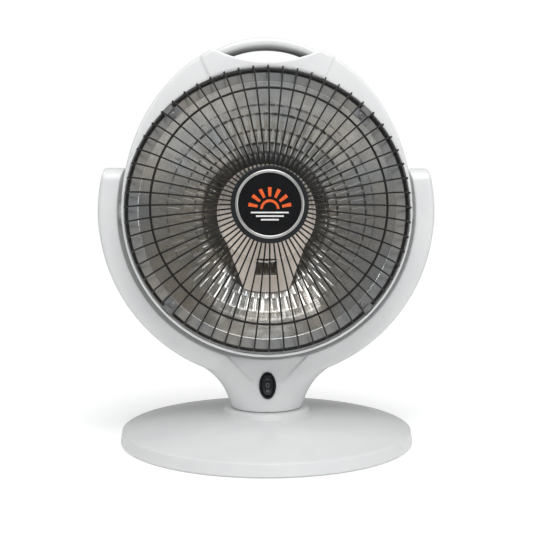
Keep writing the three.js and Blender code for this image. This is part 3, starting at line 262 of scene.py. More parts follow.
def combine(operation, form, *tools):
    """Joins tools to a form (UNION), cuts them off it (DIFFERENCE) or keeps what is common (INTERSECT)."""
    for tool in tools:
        step = form.modifiers.new(operation, "BOOLEAN")
        step.operation = operation
        step.solver = "MANIFOLD"
        step.object = tool
    apply_modifiers(form)
    for tool in tools:
        bpy.data.objects.remove(tool)
    return form


def put(form, name, place, material, body, slot, *nodes, sharp=30):
    """Puts a finished form in its place, where it rides on a body and stands for CAD nodes."""
    form.name = name
    form.data.name = name
    form.data.transform(place)
    form.data.materials.clear()
    form.data.materials.append(material)
    form.data.shade_smooth()
    form.data.set_sharp_from_angle(angle=math.radians(sharp))
    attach(form, body)
    if nodes:
        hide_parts(*nodes)
    return form


def mottled(tree, grain, low, high):
    """A number that wanders between low and high in patches of that many millimetres."""
    place = add_node(tree, "ShaderNodeTexCoord")
    cloud = {"Vector": place.outputs["Object"], "Scale": 1000 / grain, "Detail": 2}
    ends = {0: add_node(tree, "ShaderNodeTexNoise", cloud), 1: 0.3, 2: 0.7, 3: low, 4: high}
    return add_node(tree, "ShaderNodeMapRange", ends)


def made_of(name, colour, roughness, sockets, bumps=None, share=None):
    """A material with its surface.

    colour is (patch size, hex value, hex value), and share takes the place of the patches where it is given.
    roughness is one number or (patch size, lowest, highest); bumps are (spacing, depth), all in millimetres.
    """
    material, tree = new_material(name)
    patch, first, second = colour
    ends = {0: share(tree) if share else mottled(tree, patch, 0, 1), 6: linear(first), 7: linear(second)}
    inputs = {"Base Color": add_node(tree, "ShaderNodeMix", ends, data_type="RGBA").outputs[2], **sockets}
    inputs["Roughness"] = mottled(tree, *roughness) if isinstance(roughness, tuple) else roughness
    if bumps:
        spacing, depth = bumps
        relief = {"Height": mottled(tree, spacing, 0, 1), "Distance": depth / 1000, "Strength": 1}
        inputs["Normal"] = add_node(tree, "ShaderNodeBump", relief)
    surface = add_node(tree, "ShaderNodeBsdfPrincipled", inputs)
    add_node(tree, "ShaderNodeOutputMaterial", {"Surface": surface})
    return material


# White ABS, moulded glossy: cool white with an even shine and an orange-peel ripple of a few millimetres.
gloss_white = made_of("white ABS, gloss moulded", (40, "E4E5E6", "E9EAEA"), 0.26, {"IOR": 1.53}, (5, 0.01))


def cover_profile(inset):
    """The cover's line from the rim's foot up over the dome to the collar, or its underside when inset."""
    edge = BASE_RADIUS - RIM_LEAN - inset
    collar = COLLAR_RADIUS - inset
    dome = []
    for i in range(24):
        share = 1 - i / 23
        across = collar + 3 + (edge - collar - 5) * share
        corner = {0: 3, 23: 2}.get(i, 0)
        dome.append((across, rim_top - inset + DOME_RISE * (1 - share**DOME_ROUND), corner))
    return [
        (BASE_RADIUS - inset, RIM_LOW, 0.8),
        (edge + 0.6, rim_top - 1.2 - inset, 1.2),
        *dome,
        (collar + 0.4, collar_top - inset, 1.8),
    ]


outside = cover_profile(0)
inside = cover_profile(ABS_WALL)[::-1]
hole = [(WIRE_WAY, collar_top, 0.6), (WIRE_WAY, collar_top - ABS_WALL, 0.3)]
cover = raised(turned(rounded([*outside, *hole, *inside]), 256))

# The cord's gland sits in a pocket in the back of the rim.
GLAND_POCKET = 4.6
GLAND_SINK = 7
GLAND_BORE = 3.9
gland_low, gland_high = (1000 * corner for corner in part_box("cord_gland"))
gland_middle = (gland_low.z + gland_high.z) / 2
pocket = box(
    (-GLAND_POCKET, BASE_RADIUS - GLAND_SINK, gland_middle - GLAND_POCKET),
    (GLAND_POCKET, BASE_RADIUS + 5, gland_middle + GLAND_POCKET),
)
lining = box(
    (-GLAND_POCKET - 2, BASE_RADIUS - GLAND_SINK - ABS_WALL, gland_middle - GLAND_POCKET),
    (GLAND_POCKET + 2, BASE_RADIUS - 2.8, rim_top - 2),
)
way = turned([(0, 100), (GLAND_BORE, 100), (GLAND_BORE, BASE_RADIUS + 5), (0, BASE_RADIUS + 5)], 48)
way.data.transform(Matrix.Translation((0, 0, gland_middle)))
combine("UNION", cover, lining)
combine("DIFFERENCE", cover, pocket, way)
put(cover, "base_cover_moulding", floor_frame, gloss_white, "stand", "white_plastic", "base_cover")

# -------------------------------- base plate, feet and base screws
# A disc of zinc-plated sheet closes the base from below. Four self-tapping screws hold it to the cover's
# posts, and four moulded rubber feet are glued under it.
SCREW_RADIUS = 1.6
HEAD_RATIO = 2.1
SCREW_HOLE = 1.9
BASE_SCREW_CIRCLE = 0.72 * BASE_RADIUS
BASE_SCREW_SEAT = 2.4
BASE_SCREW_LENGTH = 12
PLUNGER_HOLE = 4.45
plate_low, plate_high = (1000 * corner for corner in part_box("base_plate"))

# Bright zinc: a grey metal whose shine is dulled and clouded by handling.
zinc = made_of(
    "steel, bright zinc plated", (6, "8C8D8D", "A5A6A4"), (3, 0.3, 0.42), {"Metallic": 1}, (1.5, 0.02)
)

# Black rubber: dark grey, never shiny, with a fine even grain.
rubber = made_of("rubber, moulded", (8, "232324", "2C2C2D"), 0.82, {"IOR": 1.52}, (0.9, 0.05))


def rod(radius, low, high, steps=48):
    """A round bar along Y."""
    return turned([(0, low), (radius, low), (radius, high), (0, high)], steps)


def turned_to_x(form):
    """Lays a form that runs along Y along X."""
    form.data.transform(Matrix.Rotation(-math.pi / 2, 4, "Z"))
    return form


def moved(form, x, y, z):
    """Shifts a form."""
    form.data.transform(Matrix.Translation((x, y, z)))
    return form


def on_circle(radius, degrees):
    """A point of a circle in the plan view."""
    a = math.radians(degrees)
    return radius * math.cos(a), radius * math.sin(a), 0


def screw(length, radius=SCREW_RADIUS):
    """A pan-head screw with a cross recess; its head seats at y = 0 and its shank runs along +Y."""
    head = HEAD_RATIO * radius
    height = 1.2 * radius
    pitch = 0.7 * radius
    shank = []
    y = 0.5
    while y < length - 2 * radius:
        shank += [(0.78 * radius, y), (radius, y + pitch / 2)]
        y += pitch
    profile = rounded([(0, -height, 0), (0.9 * head, -height, 0.6 * height), (head, 0, 0.2)])
    form = turned([*profile, (0.78 * radius, 0), *shank, (0.6 * radius, length - radius), (0, length)], 24)
    arms = ((0.62 * head, 0.28 * radius), (0.28 * radius, 0.62 * head))
    slots = [box((-x, -2 * height, -z), (x, -0.3 * height, z)) for x, z in arms]
    return combine("DIFFERENCE", form, *slots)


def put_screw(form, kind, number, place, body):
    """Puts a screw in its place, where it stands for the plain one of the CAD model."""
    put(form, f"{kind}_pan_{number}", place, zinc, body, "zinc_steel", f"{kind}_{number}")


plate_edge = [(plate_high.x, plate_low.z, 0.4), (plate_high.x, plate_high.z, 0.4)]
disc = raised(turned(rounded([(0, plate_low.z, 0), *plate_edge, (0, plate_high.z, 0)]), 256))
quarters = (0, 90, 180, 270)
holes = [moved(raised(rod(SCREW_HOLE, 0, 8, 16)), *on_circle(BASE_SCREW_CIRCLE, a)) for a in quarters]
plunger_low, plunger_high = (1000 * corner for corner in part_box("tip_switch_plunger"))
plunger_x = (plunger_low.x + plunger_high.x) / 2
combine("DIFFERENCE", disc, *holes, moved(raised(rod(PLUNGER_HOLE, 0, 8)), plunger_x, 0, 0))
put(disc, "base_plate_sheet", floor_frame, zinc, "stand", "zinc_steel", "base_plate")

for i, angle in enumerate(quarters, 1):
    form = moved(raised(screw(BASE_SCREW_LENGTH)), *on_circle(BASE_SCREW_CIRCLE, angle))
    put_screw(moved(form, 0, 0, BASE_SCREW_SEAT), "base_screw", i, floor_frame, "stand")

for i in range(1, 5):
    low, high = (1000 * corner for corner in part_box(f"foot_{i}"))
    radius = (high.x - low.x) / 2
    sole = [(0, 0.5, 0), (0.55 * radius, 0.5, 0.3), (0.6 * radius, 0, 0.4), (radius - 1, 0, 0.8)]
    pad = raised(turned(rounded([*sole, (radius, high.z, 0.2), (0, high.z, 0)]), 64))
    moved(pad, (low.x + high.x) / 2, (low.y + high.y) / 2, 0)
    put(pad, f"rubber_foot_{i}", floor_frame, rubber, "stand", "rubber", f"foot_{i}")

# -------------------------------- yoke
# Two ABS shells, front and back, that meet in the middle of the arms and are screwed from behind. The neck
# stands on the base's collar and runs out into the arms; a shallow leaning panel in front takes the switch.
tilt_joint = next(joint for joint in frame["joints"] if joint["name"] == "head_tilt")
pivot = Vector(tilt_joint["pos_m"])
yoke_frame = Matrix.Translation(pivot) @ Matrix.Scale(0.001, 4)
ARM_WIDTH = 21.4
ARM_DEPTH = 44
ARM_RISE = 49
ARM_CAP = 16
ARM_ROUND = 6
NECK_RISE = 32.5
NECK_HALF_WIDTH = 39
NECK_HALF_DEPTH = 36
NECK_TAPER = 19
NECK_FLARE = 39
FLARE_SHARPNESS = 3.4
NECK_SQUARING = 1.6
PANEL_SLOPE = math.radians(20)
PANEL_SINK = 1.6
SWITCH_HALF_WIDTH = 9.4
SWITCH_HALF_HEIGHT = 15
SWITCH_DROP = 4.5
SEAM = 0.3
BUSH_SLEEVE = 12
YOKE_SCREW_ANGLES = (-22, -52, -128, -158)
YOKE_SCREW_SINK = 6
YOKE_SCREW_LENGTH = 26
POST_RADIUS = 4.4
HEAD_ROOM = SCREW_RADIUS * HEAD_RATIO + 0.3
SEAT_GAP = 0.3
FAR = 500
yoke_outer = 1000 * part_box("yoke_front")[1].x
yoke_inner = yoke_outer - ARM_WIDTH
neck_foot = -(yoke_outer + NECK_RISE)
neck_top = -(yoke_inner - 4)
switch_z = -(yoke_outer + SWITCH_DROP)


def signed_power(value, power):
    """A power that keeps its sign."""
    return math.copysign(abs(value) ** power, value)


def neck_share(z):
    """How far up the neck a height is."""
    return (z - neck_foot) / (neck_top - neck_foot)


def neck_depth(z):
    """Half the neck's depth, front to back."""
    return NECK_HALF_DEPTH + (ARM_DEPTH / 2 - NECK_HALF_DEPTH) * neck_share(z)


switch_y = PANEL_SINK - neck_depth(switch_z)
switch_frame = (
    Matrix.Translation(pivot)
    @ Matrix.Translation((0, switch_y / 1000, switch_z / 1000))
    @ Matrix.Rotation(-PANEL_SLOPE, 4, "X")
    @ Matrix.Scale(0.001, 4)
)


def neck_section(z, inset):
    """The neck's section: an ellipse at the foot that squares up as it rises."""
    share = neck_share(z)
    across = NECK_HALF_WIDTH + NECK_TAPER * share + NECK_FLARE * share**FLARE_SHARPNESS - inset
    deep = neck_depth(z) - inset
    power = 2 / (2 + NECK_SQUARING * share)
    return [(across * signed_power(c, power), deep * signed_power(s, power), z) for c, s in circle(96)]


def ellipse(half_width, half_height, start, end, steps):
    """Points of an ellipse's arc, across and up, between two angles in degrees."""
    angles = [math.radians(start + (end - start) * i / steps) for i in range(steps + 1)]
    return [(half_width * math.cos(a), half_height * math.sin(a)) for a in angles]


def extruded(outline, low, high):
    """An outline drawn across and up, run from one depth to another."""
    return lofted([[(x, y, z) for x, z in outline] for y in (low, high)])


def panel_recess(inset):
    """What the leaning panel takes off the neck."""
    half_width = SWITCH_HALF_WIDTH + 3.5 + inset
    half_height = SWITCH_HALF_HEIGHT + 2.5 + inset
    rise = -(yoke_inner - 20) - switch_z
    bowl = ellipse(half_width, half_height, 180, 360, 32)
    form = extruded([(half_width + rise, rise), (-half_width - rise, rise), *bowl], -FAR, FAR)
    ahead = box((-FAR, -FAR, -FAR), (FAR, 0, FAR))
    ahead.data.transform(Matrix.Rotation(-PANEL_SLOPE, 4, "X"))
    moved(ahead, 0, inset / math.cos(PANEL_SLOPE), 0)
    return moved(combine("INTERSECT", form, ahead), 0, switch_y, switch_z)


def yoke_form(inset):
    """The yoke from outside, or the hollow in it when inset by the wall."""
    half = ARM_DEPTH / 2 - inset
    outer = yoke_outer - inset
    corner = ARM_ROUND - inset
    section = [(outer - ARM_WIDTH, -half, 0), (outer, -half, corner), (outer, half, corner)]
    band = turned(rounded([*section, (outer - ARM_WIDTH, half, 0)]), 360)
    shoulder = ARM_RISE - ARM_CAP
    cap = turned_to_x(rod(half, -FAR, FAR, 64))
    cap.data.transform(Matrix.Diagonal((1, 1, (ARM_CAP - inset) / half, 1)))
    below = box((-FAR, -half, -FAR), (FAR, half, shoulder))
    combine("UNION", below, moved(cap, 0, 0, shoulder))
    combine("INTERSECT", band, below)
    neck = [neck_section(neck_foot + (neck_top - neck_foot) * i / 28, inset) for i in range(29)]
    if inset:
        neck.insert(0, [(x, y, neck_foot - 2) for x, y, _ in neck[0]])
    combine("UNION", band, lofted(neck))
    sweep = [-24 + 2 * i for i in range(25)]
    barrel = [(math.sqrt(yoke_inner**2 - y**2) + inset, y) for y in sweep]
    hollow = turned([(0, sweep[0]), *barrel, (0, sweep[-1])], 360)
    return combine("DIFFERENCE", band, hollow, panel_recess(inset))


def soften(form, grain, rounds):
    """Rounds every edge and inner corner of a form, as a polished mould does."""
    step = form.modifiers.new("even skin", "REMESH")
    step.mode = "VOXEL"
    step.voxel_size = grain
    step = form.modifiers.new("polish", "SMOOTH")
    step.factor = 0.5
    step.iterations = rounds
    return apply_modifiers(form)


def copy_of(form):
    """A second copy of a form."""
    twin = form.copy()
    twin.data = form.data.copy()
    scene.collection.objects.link(twin)
    return twin


def oval(inset, steps=96):
    """The switch's upright oval, smaller all round by the inset."""
    return ellipse(SWITCH_HALF_WIDTH - inset, SWITCH_HALF_HEIGHT - inset, 0, 360 - 360 / steps, steps - 1)


def at_angle(form, radius, degrees):
    """Sets a form at a radius and angle round the Y axis; 0 degrees is +X and 90 is up."""
    form.data.transform(Matrix.Rotation(-math.radians(degrees), 4, "Y") @ Matrix.Translation((radius, 0, 0)))
    return form


def pivot_rods(radius, low, high):
    """Two round bars on the head's pivot line, one on each side."""
    return [at_angle(turned_to_x(rod(radius, low, high)), 0, side) for side in (0, 180)]


yoke_screw_circle = (yoke_inner + yoke_outer) / 2
yoke_screw_seat = ARM_DEPTH / 2 - YOKE_SCREW_SINK
yoke_back = soften(yoke_form(0), 1.2, 8)
combine("DIFFERENCE", yoke_back, yoke_form(ABS_WALL))
combine("DIFFERENCE", yoke_back, *pivot_rods(BUSH_SLEEVE + 0.3, yoke_inner - 8, yoke_inner + ABS_WALL + 4))
yoke_front = copy_of(yoke_back)

window = extruded(oval(0.9), -25, 25)
window.data.transform(Matrix.Translation((0, switch_y, switch_z)) @ Matrix.Rotation(-PANEL_SLOPE, 4, "X"))
combine("INTERSECT", yoke_front, box((-FAR, -FAR, -FAR), (FAR, -SEAM / 2, FAR)))
combine("DIFFERENCE", yoke_front, window)
put(yoke_front, "yoke_front_shell", yoke_frame, gloss_white, "stand", "white_plastic", "yoke_front")

combine("INTERSECT", yoke_back, box((-FAR, SEAM / 2, -FAR), (FAR, FAR, FAR)))
for angle in YOKE_SCREW_ANGLES:
    post = rod(POST_RADIUS, 5, yoke_screw_seat + 2, 24)
    combine("UNION", yoke_back, at_angle(post, yoke_screw_circle, angle))
    rooms = (rod(HEAD_ROOM, yoke_screw_seat, ARM_DEPTH, 32), rod(SCREW_HOLE, 2, ARM_DEPTH, 16))
    combine("DIFFERENCE", yoke_back, *[at_angle(room, yoke_screw_circle, angle) for room in rooms])
put(yoke_back, "yoke_back_shell", yoke_frame, gloss_white, "stand", "white_plastic", "yoke_back")


def from_behind(form, seat, circle, degrees):
    """Turns a screw to face the back and seats it on its circle."""
    form.data.transform(Matrix.Rotation(math.pi, 4, "X"))
    return at_angle(moved(form, 0, seat + SEAT_GAP, 0), circle, degrees)


for i, angle in enumerate(YOKE_SCREW_ANGLES, 1):
    form = from_behind(screw(YOKE_SCREW_LENGTH), yoke_screw_seat, yoke_screw_circle, angle)
    put_screw(form, "yoke_screw", i, yoke_frame, "stand")

# -------------------------------- switch
# A bought rocker switch, moulded in black nylon: an upright oval frame that snaps into the panel, and a
# rocker with a hollowed face. Off is in the middle; its plain marks are printed in grey.
SWITCH_RIM = 2.4
ROCKER_GAP = 0.8
ROCKER_PROUD = 3.2
ROCKER_HOLLOW = 1.1
AXLE_SINK = 1
AXLE_RADIUS = 1.5
AXLE_HALF_LENGTH = 8.2

# Satin black nylon: near black, with the soft sheen of a fine spark-eroded mould.
satin_black = made_of(
    "black nylon, satin moulded", (12, "15181B", "1D2023"), (9, 0.34, 0.44),
    {"IOR": 1.53, "Specular IOR Level": 0.3}, (0.7, 0.02),
)

lip = [(0.2, -0.35, 0), (0.2, -1.3, 0.5), (0.9, -2, 0.6), (2, -1.9, 0.5), (SWITCH_RIM, -1.2, 0.3)]
sleeve = [(SWITCH_RIM, 5.5, 0), (1.2, 5.5, 0), (1.2, -0.35, 0)]
bezel = skinned([[(x, y, z) for x, z in oval(inset)] for inset, y in rounded([*lip, *sleeve], 3)])
put(bezel, "switch_frame_oval", switch_frame, satin_black, "stand", "black_plastic", "switch_frame")

inset = SWITCH_RIM + ROCKER_GAP
reach = SWITCH_HALF_HEIGHT - inset
face_half = math.sqrt(reach**2 - (AXLE_SINK + ROCKER_PROUD) ** 2)


def rocker_y(x, z):
    """The rocker's hollow face at a point; it is the same all the way across."""
    return -ROCKER_PROUD + ROCKER_HOLLOW * (1 - (z / face_half) ** 2)


face = [(up, rocker_y(0, up)) for up in (face_half * (i / 12 - 1) for i in range(25))]
low_angle = math.degrees(math.atan2(2, reach))
high_angle = math.degrees(math.asin((AXLE_SINK + ROCKER_PROUD) / reach))
turns = [math.radians(high_angle + (-low_angle - high_angle) * i / 8) for i in range(1, 9)]
top_end = [(reach * math.cos(a), AXLE_SINK - reach * math.sin(a)) for a in turns]
bottom_end = [(-z, y) for z, y in reversed(top_end)]
side_view = [*face, *top_end, *bottom_end]
paddle = lofted([[(x, y, z) for z, y in side_view] for x in (-20, 20)])
combine("INTERSECT", paddle, extruded(oval(inset), -30, 30))
soften(paddle, 0.3, 4)
axle = turned_to_x(rod(AXLE_RADIUS, -AXLE_HALF_LENGTH, AXLE_HALF_LENGTH, 24))
combine("UNION", paddle, moved(axle, 0, AXLE_SINK, 0))
put(paddle, "rocker_paddle", switch_frame, satin_black, "rocker", "black_plastic", "switch_rocker")

# Pad-printing ink: mid grey and matt, a hair proud of the rocker's face.
pale_ink = made_of("pad-printing ink, grey", (1.5, "6E7274", "7E8284"), 0.6, {"IOR": 1.5})


def ink_form(lines, surface_y, proud, sunk):
    """A thin layer of ink through lines of (across, up) points, on the face that surface_y gives."""
    mesh_data = bmesh.new()
    rows = []
    for lift, sheet in ((proud, lines), (-sunk, lines[::-1])):
        for line in sheet:
            rows.append([mesh_data.verts.new((x, surface_y(x, z) - lift, z)) for x, z in line])
    for row, next_row in zip(rows, rows[1:] + rows[:1]):
        for i in range(len(row) - 1):
            mesh_data.faces.new((row[i], row[i + 1], next_row[i + 1], next_row[i]))
    if (Vector(lines[0][0]) - Vector(lines[0][-1])).length > 0.01:
        for end in (0, -1):
            mesh_data.faces.new([row[end] for row in rows])
    else:
        bmesh.ops.remove_doubles(mesh_data, verts=mesh_data.verts, dist=1e-4)
    return as_object(mesh_data)


def printed_on_rocker(name, lines):
    """A mark on the rocker's face."""
    form = ink_form(lines, rocker_y, 0.03, 0.02)
    put(form, f"switch_mark_{name}", switch_frame, pale_ink, "rocker", "black_plastic")


MARK_HALF_LENGTH = 1.7
MARK_HALF_WEIGHT = 0.28
for name, height in (("one", 6.2), ("two_upper", -5.6), ("two_lower", -7)):
    edges = (height - MARK_HALF_WEIGHT, height + MARK_HALF_WEIGHT)
    bar = [[(x, z) for x in (-MARK_HALF_LENGTH, 0, MARK_HALF_LENGTH)] for z in edges]
    printed_on_rocker(name, bar)
OFF_RING = (1.35, 1.9)
OFF_STRETCH = 1.25
printed_on_rocker("off", [ellipse(radius, radius * OFF_STRETCH, 0, 360, 32) for radius in OFF_RING])

# -------------------------------- front housing
# A white ABS shell round the dish: a narrow lip round the guard, a crown above it with a raised panel, and
# a carrying handle that arches over a finger slot. Its edges are as round as a polished mould leaves them.
GUARD_RADIUS = 150
RING_WIRE = 3.2
GAP = 0.3
DISH_RADIUS = 138
DISH_DEPTH = 72.5
RIM_FORWARD = 33
LIP_WIDTH = 3.1
FACE_EDGE = 2.7
FACE_EDGE_DEPTH = 4.5
CROWN = 1.2
CHIN = 1.01
CROWN_PANEL = 1.6
PANEL_WEDGE = math.radians(23.5)
HOUSING_BACK = 18
HOUSING_DRAFT = 4
HANDLE_HALF_WIDTH = 58
HANDLE_HALF_HEIGHT = 6.3
HANDLE_HALF_DEPTH = 10
HANDLE_RISE = 6.4
HANDLE_DIP = 0.2  # keeps the bar's top under the CAD model's
HANDLE_BOW = 116
HANDLE_SQUARING = 0.7
SCOOP_EDGE = 6.5
SCOOP_SAG = 13
TRUNNION_RADIUS = 8
HEAD_LEAN = math.radians(5)
DIAGONALS = (45, 135, 225, 315)
flange_y = -RIM_FORWARD
ledge_y = flange_y + 1 + GAP
ring_y = flange_y - GAP - RING_WIRE / 2
face_y = ring_y - RING_WIRE / 2 - GAP
pad_y = face_y - CROWN_PANEL
widest_y = face_y + FACE_EDGE_DEPTH
vertex_y = flange_y + DISH_DEPTH
back_y = vertex_y + 34
bezel_radius = GUARD_RADIUS + RING_WIRE / 2 + 1
housing_radius = bezel_radius + LIP_WIDTH
housing_rear = housing_radius - HOUSING_DRAFT
seat_outer = bezel_radius + ABS_WALL
crown_top = CROWN * housing_radius
bar_top = crown_top + HANDLE_RISE
bar_y = face_y + 22 + HANDLE_HALF_DEPTH
scoop_low = bezel_radius + SCOOP_EDGE
scoop_radius = (HANDLE_HALF_WIDTH**2 + SCOOP_SAG**2) / (2 * SCOOP_SAG)
screw_circle = GUARD_RADIUS - RING_WIRE / 2 - GAP - 1 - 2 * GAP - SCREW_RADIUS * HEAD_RATIO
head_frame = Matrix.Translation(pivot) @ Matrix.Rotation(-HEAD_LEAN, 4, "X") @ Matrix.Scale(0.001, 4)


def crowned(form):
    """Draws a form's top half out to an ellipse, and its lower half to a rounder one."""
    for vertex in form.data.vertices:
        vertex.co.z *= CROWN if vertex.co.z > 0 else CHIN
    return form


def hand_trough(sink=0):
    """The scoop over the crown: a trough whose curved floor climbs towards the back."""
    floor_line = [(pad_y - 12, 0), (face_y + ABS_WALL + GAP, 0), (0, 2)]
    floor_line += [(HOUSING_BACK, 7), (HOUSING_BACK + 22, 17)]
    half = HANDLE_HALF_WIDTH + sink
    sections = []
    for y, climb in floor_line:
        points = []
        for i in range(49):
            x = half * (i / 24 - 1)
            sag = scoop_radius - math.sqrt(scoop_radius**2 - x * x)
            points.append((x, y, scoop_low + climb - sink + sag))
        sections.append([*points, (half, y, bar_top + 20), (-half, y, bar_top + 20)])
    return lofted(sections)


def handle_bar(grow=0):
    """The handle's arch, a softened block in section."""
    bow = HANDLE_BOW - HANDLE_HALF_HEIGHT - HANDLE_DIP
    reach = math.asin((HANDLE_HALF_WIDTH + 4 + grow) / bow)
    sections = []
    for i in range(65):
        a = reach * (i / 32 - 1)
        ring_points = []
        for c, s in circle(32):
            out = bow + (HANDLE_HALF_HEIGHT + grow) * signed_power(s, HANDLE_SQUARING)
            y = bar_y + (HANDLE_HALF_DEPTH + grow) * signed_power(c, HANDLE_SQUARING)
            ring_points.append((out * math.sin(a), y, bar_top - HANDLE_BOW + out * math.cos(a)))
        sections.append(ring_points)
    return lofted(sections)


def inner_walls(wall, corner, end, steps):
    """The room inside the housing's walls, as far back as end; corner takes off its front edge."""
    line = [(0, face_y + wall), (housing_radius - FACE_EDGE - corner, face_y + wall)]
    line += [(housing_radius - wall, widest_y + wall), (housing_rear - wall, end), (0, end)]
    return crowned(turned(line, steps))


def at_screws(radius, low, high, steps):
    """Four round bars along Y, one at each screw of the head."""
    return [at_angle(rod(radius, low, high, steps), screw_circle, a) for a in DIAGONALS]


round_edge = ellipse(FACE_EDGE_DEPTH, FACE_EDGE, 0, 90, 9)
edge = [(housing_radius - FACE_EDGE + out, widest_y - ahead) for ahead, out in round_edge]
shell = crowned(turned([(0, face_y), *edge, (housing_rear, HOUSING_BACK), (0, HOUSING_BACK)], 360))
panel = crowned(rod(housing_radius - 0.5 * FACE_EDGE, pad_y, face_y + 1, 360))
wide = 2 * housing_radius
wedge_x = wide * math.sin(PANEL_WEDGE)
wedge_z = wide * math.cos(PANEL_WEDGE)
wedge = extruded([(0, 0), (wedge_x, wedge_z), (-wedge_x, wedge_z)], pad_y - 1, face_y + 2)
combine("INTERSECT", panel, wedge)
combine("DIFFERENCE", panel, rod(bezel_radius + 0.5 * LIP_WIDTH, pad_y - 5, face_y + 5, 360))
combine("UNION", shell, panel)
mouth = rod(bezel_radius, pad_y - 5, ledge_y, 360)
for vertex in mouth.data.vertices:
    vertex.co.z *= CHIN if vertex.co.z < 0 else 1  # round above, as the guard is, and drawn out below
combine("DIFFERENCE", shell, mouth, rod(DISH_RADIUS + 2, -FAR, FAR, 360), hand_trough())
combine("UNION", shell, handle_bar())
soften(shell, 1.1, 4)

# Inside it is hollow but for the seat of the dish, four screw posts and the bosses of the pivots.
cavity = inner_walls(ABS_WALL, 0.4 * ABS_WALL, HOUSING_BACK + 2, 360)
seat_inner = DISH_RADIUS - 10
seat_line = [(seat_inner, ledge_y - 1), (bezel_radius - 1, ledge_y - 1), (bezel_radius - 1, face_y - 1)]
seat_line += [(seat_outer, face_y - 1), (seat_outer, ledge_y + ABS_WALL), (seat_inner, ledge_y + ABS_WALL)]
seat = turned(seat_line, 360)
boss_x = housing_rear - 3 * ABS_WALL
kept = [seat, handle_bar()]
kept += at_screws(POST_RADIUS, ledge_y, HOUSING_BACK - GAP, 24)
kept += pivot_rods(TRUNNION_RADIUS + 7, boss_x, FAR)
combine("DIFFERENCE", cavity, *kept)
bores = at_screws(SCREW_HOLE, ledge_y - 2, HOUSING_BACK + 2, 16)
bores += pivot_rods(TRUNNION_RADIUS + GAP, 50, FAR)
combine("DIFFERENCE", shell, cavity, *bores)
put(shell, "front_housing_shell", head_frame, gloss_white, "head", "white_plastic", "front_housing")

# -------------------------------- rear housing
# A bowl of black ABS behind the dish, screwed on from the back, with two fields of vent slots. A tongue of
# it runs forward under the handle and lines the finger slot.
BACK_SHARPNESS = 3.2
VENTS = 4
VENT_START = 47
VENT_PITCH = 14
VENT_HALF_WIDTH = 47
VENT_STEP = 5
VENT_HEIGHT = 4.4
REAR_SCREW_LENGTH = 18
rear_screw_seat = HOUSING_BACK + 8

# Black ABS, spark-eroded: an even fine grain that scatters the light, so no sharp reflections.
grained_black = made_of(
    "black ABS, spark-eroded grain", (30, "1F2123", "26282A"), (12, 0.48, 0.58), {"IOR": 1.53}, (0.8, 0.06)
)


def bowl_line(inset):
    """The back's line, from its widest to its middle."""
    radius = housing_rear - inset
    deep = back_y - HOUSING_BACK - inset
    shares = [math.sin(math.radians(90 * i / 40)) for i in range(41)]
    return [(radius * math.sqrt(1 - s**BACK_SHARPNESS), HOUSING_BACK + s * deep) for s in shares[1:]]


front = HOUSING_BACK + GAP
outer_line = [(housing_rear, front), *bowl_line(0)]
inner_line = [(housing_rear - ABS_WALL, front), *bowl_line(ABS_WALL)]
inner_line[-1] = (0, inner_line[-1][1])
outer_line[-1] = (0, outer_line[-1][1])
bowl = crowned(turned([(0, front), *outer_line], 256))
lining = hand_trough(ABS_WALL)
inside_walls = inner_walls(ABS_WALL + GAP, 1.2, HOUSING_BACK + 1, 256)
combine("INTERSECT", lining, combine("UNION", inside_walls, copy_of(bowl)))
span = HANDLE_HALF_WIDTH - 3
beside = [box((-FAR, -FAR, 0), (-span, FAR, FAR)), box((span, -FAR, 0), (FAR, FAR, FAR))]
below = rod(seat_outer + GAP, -FAR, ledge_y + ABS_WALL + GAP, 256)
combine("DIFFERENCE", lining, hand_trough(), *beside, below, handle_bar(GAP))
posts = at_screws(POST_RADIUS, front, back_y, 24)
posts = [combine("INTERSECT", post, copy_of(bowl)) for post in posts]
slots = []
for side in (1, -1):
    for i in range(VENTS):
        half = VENT_HALF_WIDTH - VENT_STEP * i - VENT_HEIGHT / 2
        z = side * (VENT_START + VENT_PITCH * i)
        round_end = ellipse(VENT_HEIGHT / 2, VENT_HEIGHT / 2, -90, 90, 12)
        outline = [(half + x, z + up) for x, up in round_end] + [(-half - x, z - up) for x, up in round_end]
        slots.append(extruded(outline, HOUSING_BACK + 12, back_y + 5))
hollow = crowned(turned([(0, front - 1), (housing_rear - ABS_WALL, front - 1), *inner_line], 256))
combine("DIFFERENCE", bowl, hollow, *slots, hand_trough())
combine("UNION", bowl, lining, *posts)
sunk = at_screws(HEAD_ROOM, rear_screw_seat, back_y + 5, 32)
sunk += at_screws(SCREW_HOLE, front - 2, back_y, 16)
combine("DIFFERENCE", bowl, *sunk)
put(bowl, "rear_housing_bowl", head_frame, grained_black, "head", "black_plastic", "rear_housing")

for i, angle in enumerate(DIAGONALS, 1):
    form = from_behind(screw(REAR_SCREW_LENGTH), rear_screw_seat, screw_circle, angle)
    put_screw(form, "rear_screw", i, head_frame, "head")

# -------------------------------- reflector
# A dish of thin aluminium, polished and then embossed with staggered bricks that spread the heat. It is as
# wavy as pressed sheet is, and its flat flange lies under the guard's ring.
DISH_EDGE = 152.3
SOCKET_BORE = 17
BRICK_OUTER = 118
BRICK_START = 110
BRICK_SHRINK = 0.86
BRICKS = 72
BRICK_HEIGHT = 0.45
FIRST_ROW = 0.4
BRICK_SQUARENESS = 8
DENT = 0.5
DENT_SPACING = 24
RIPPLE = 0.09
RIPPLE_SPACING = 8
FADE = 6
DISH_SHEET = 1.15
FLANGE_SHEET = 1
SPAN_STEPS = 720

# Polished aluminium: a slightly cool mirror, hazed by the rolling and by heat.
aluminium = made_of(
    "aluminium sheet, polished and embossed", (60, "B0B5B8", "CBC6BE"), (14, 0.16, 0.26), {"Metallic": 1}
)

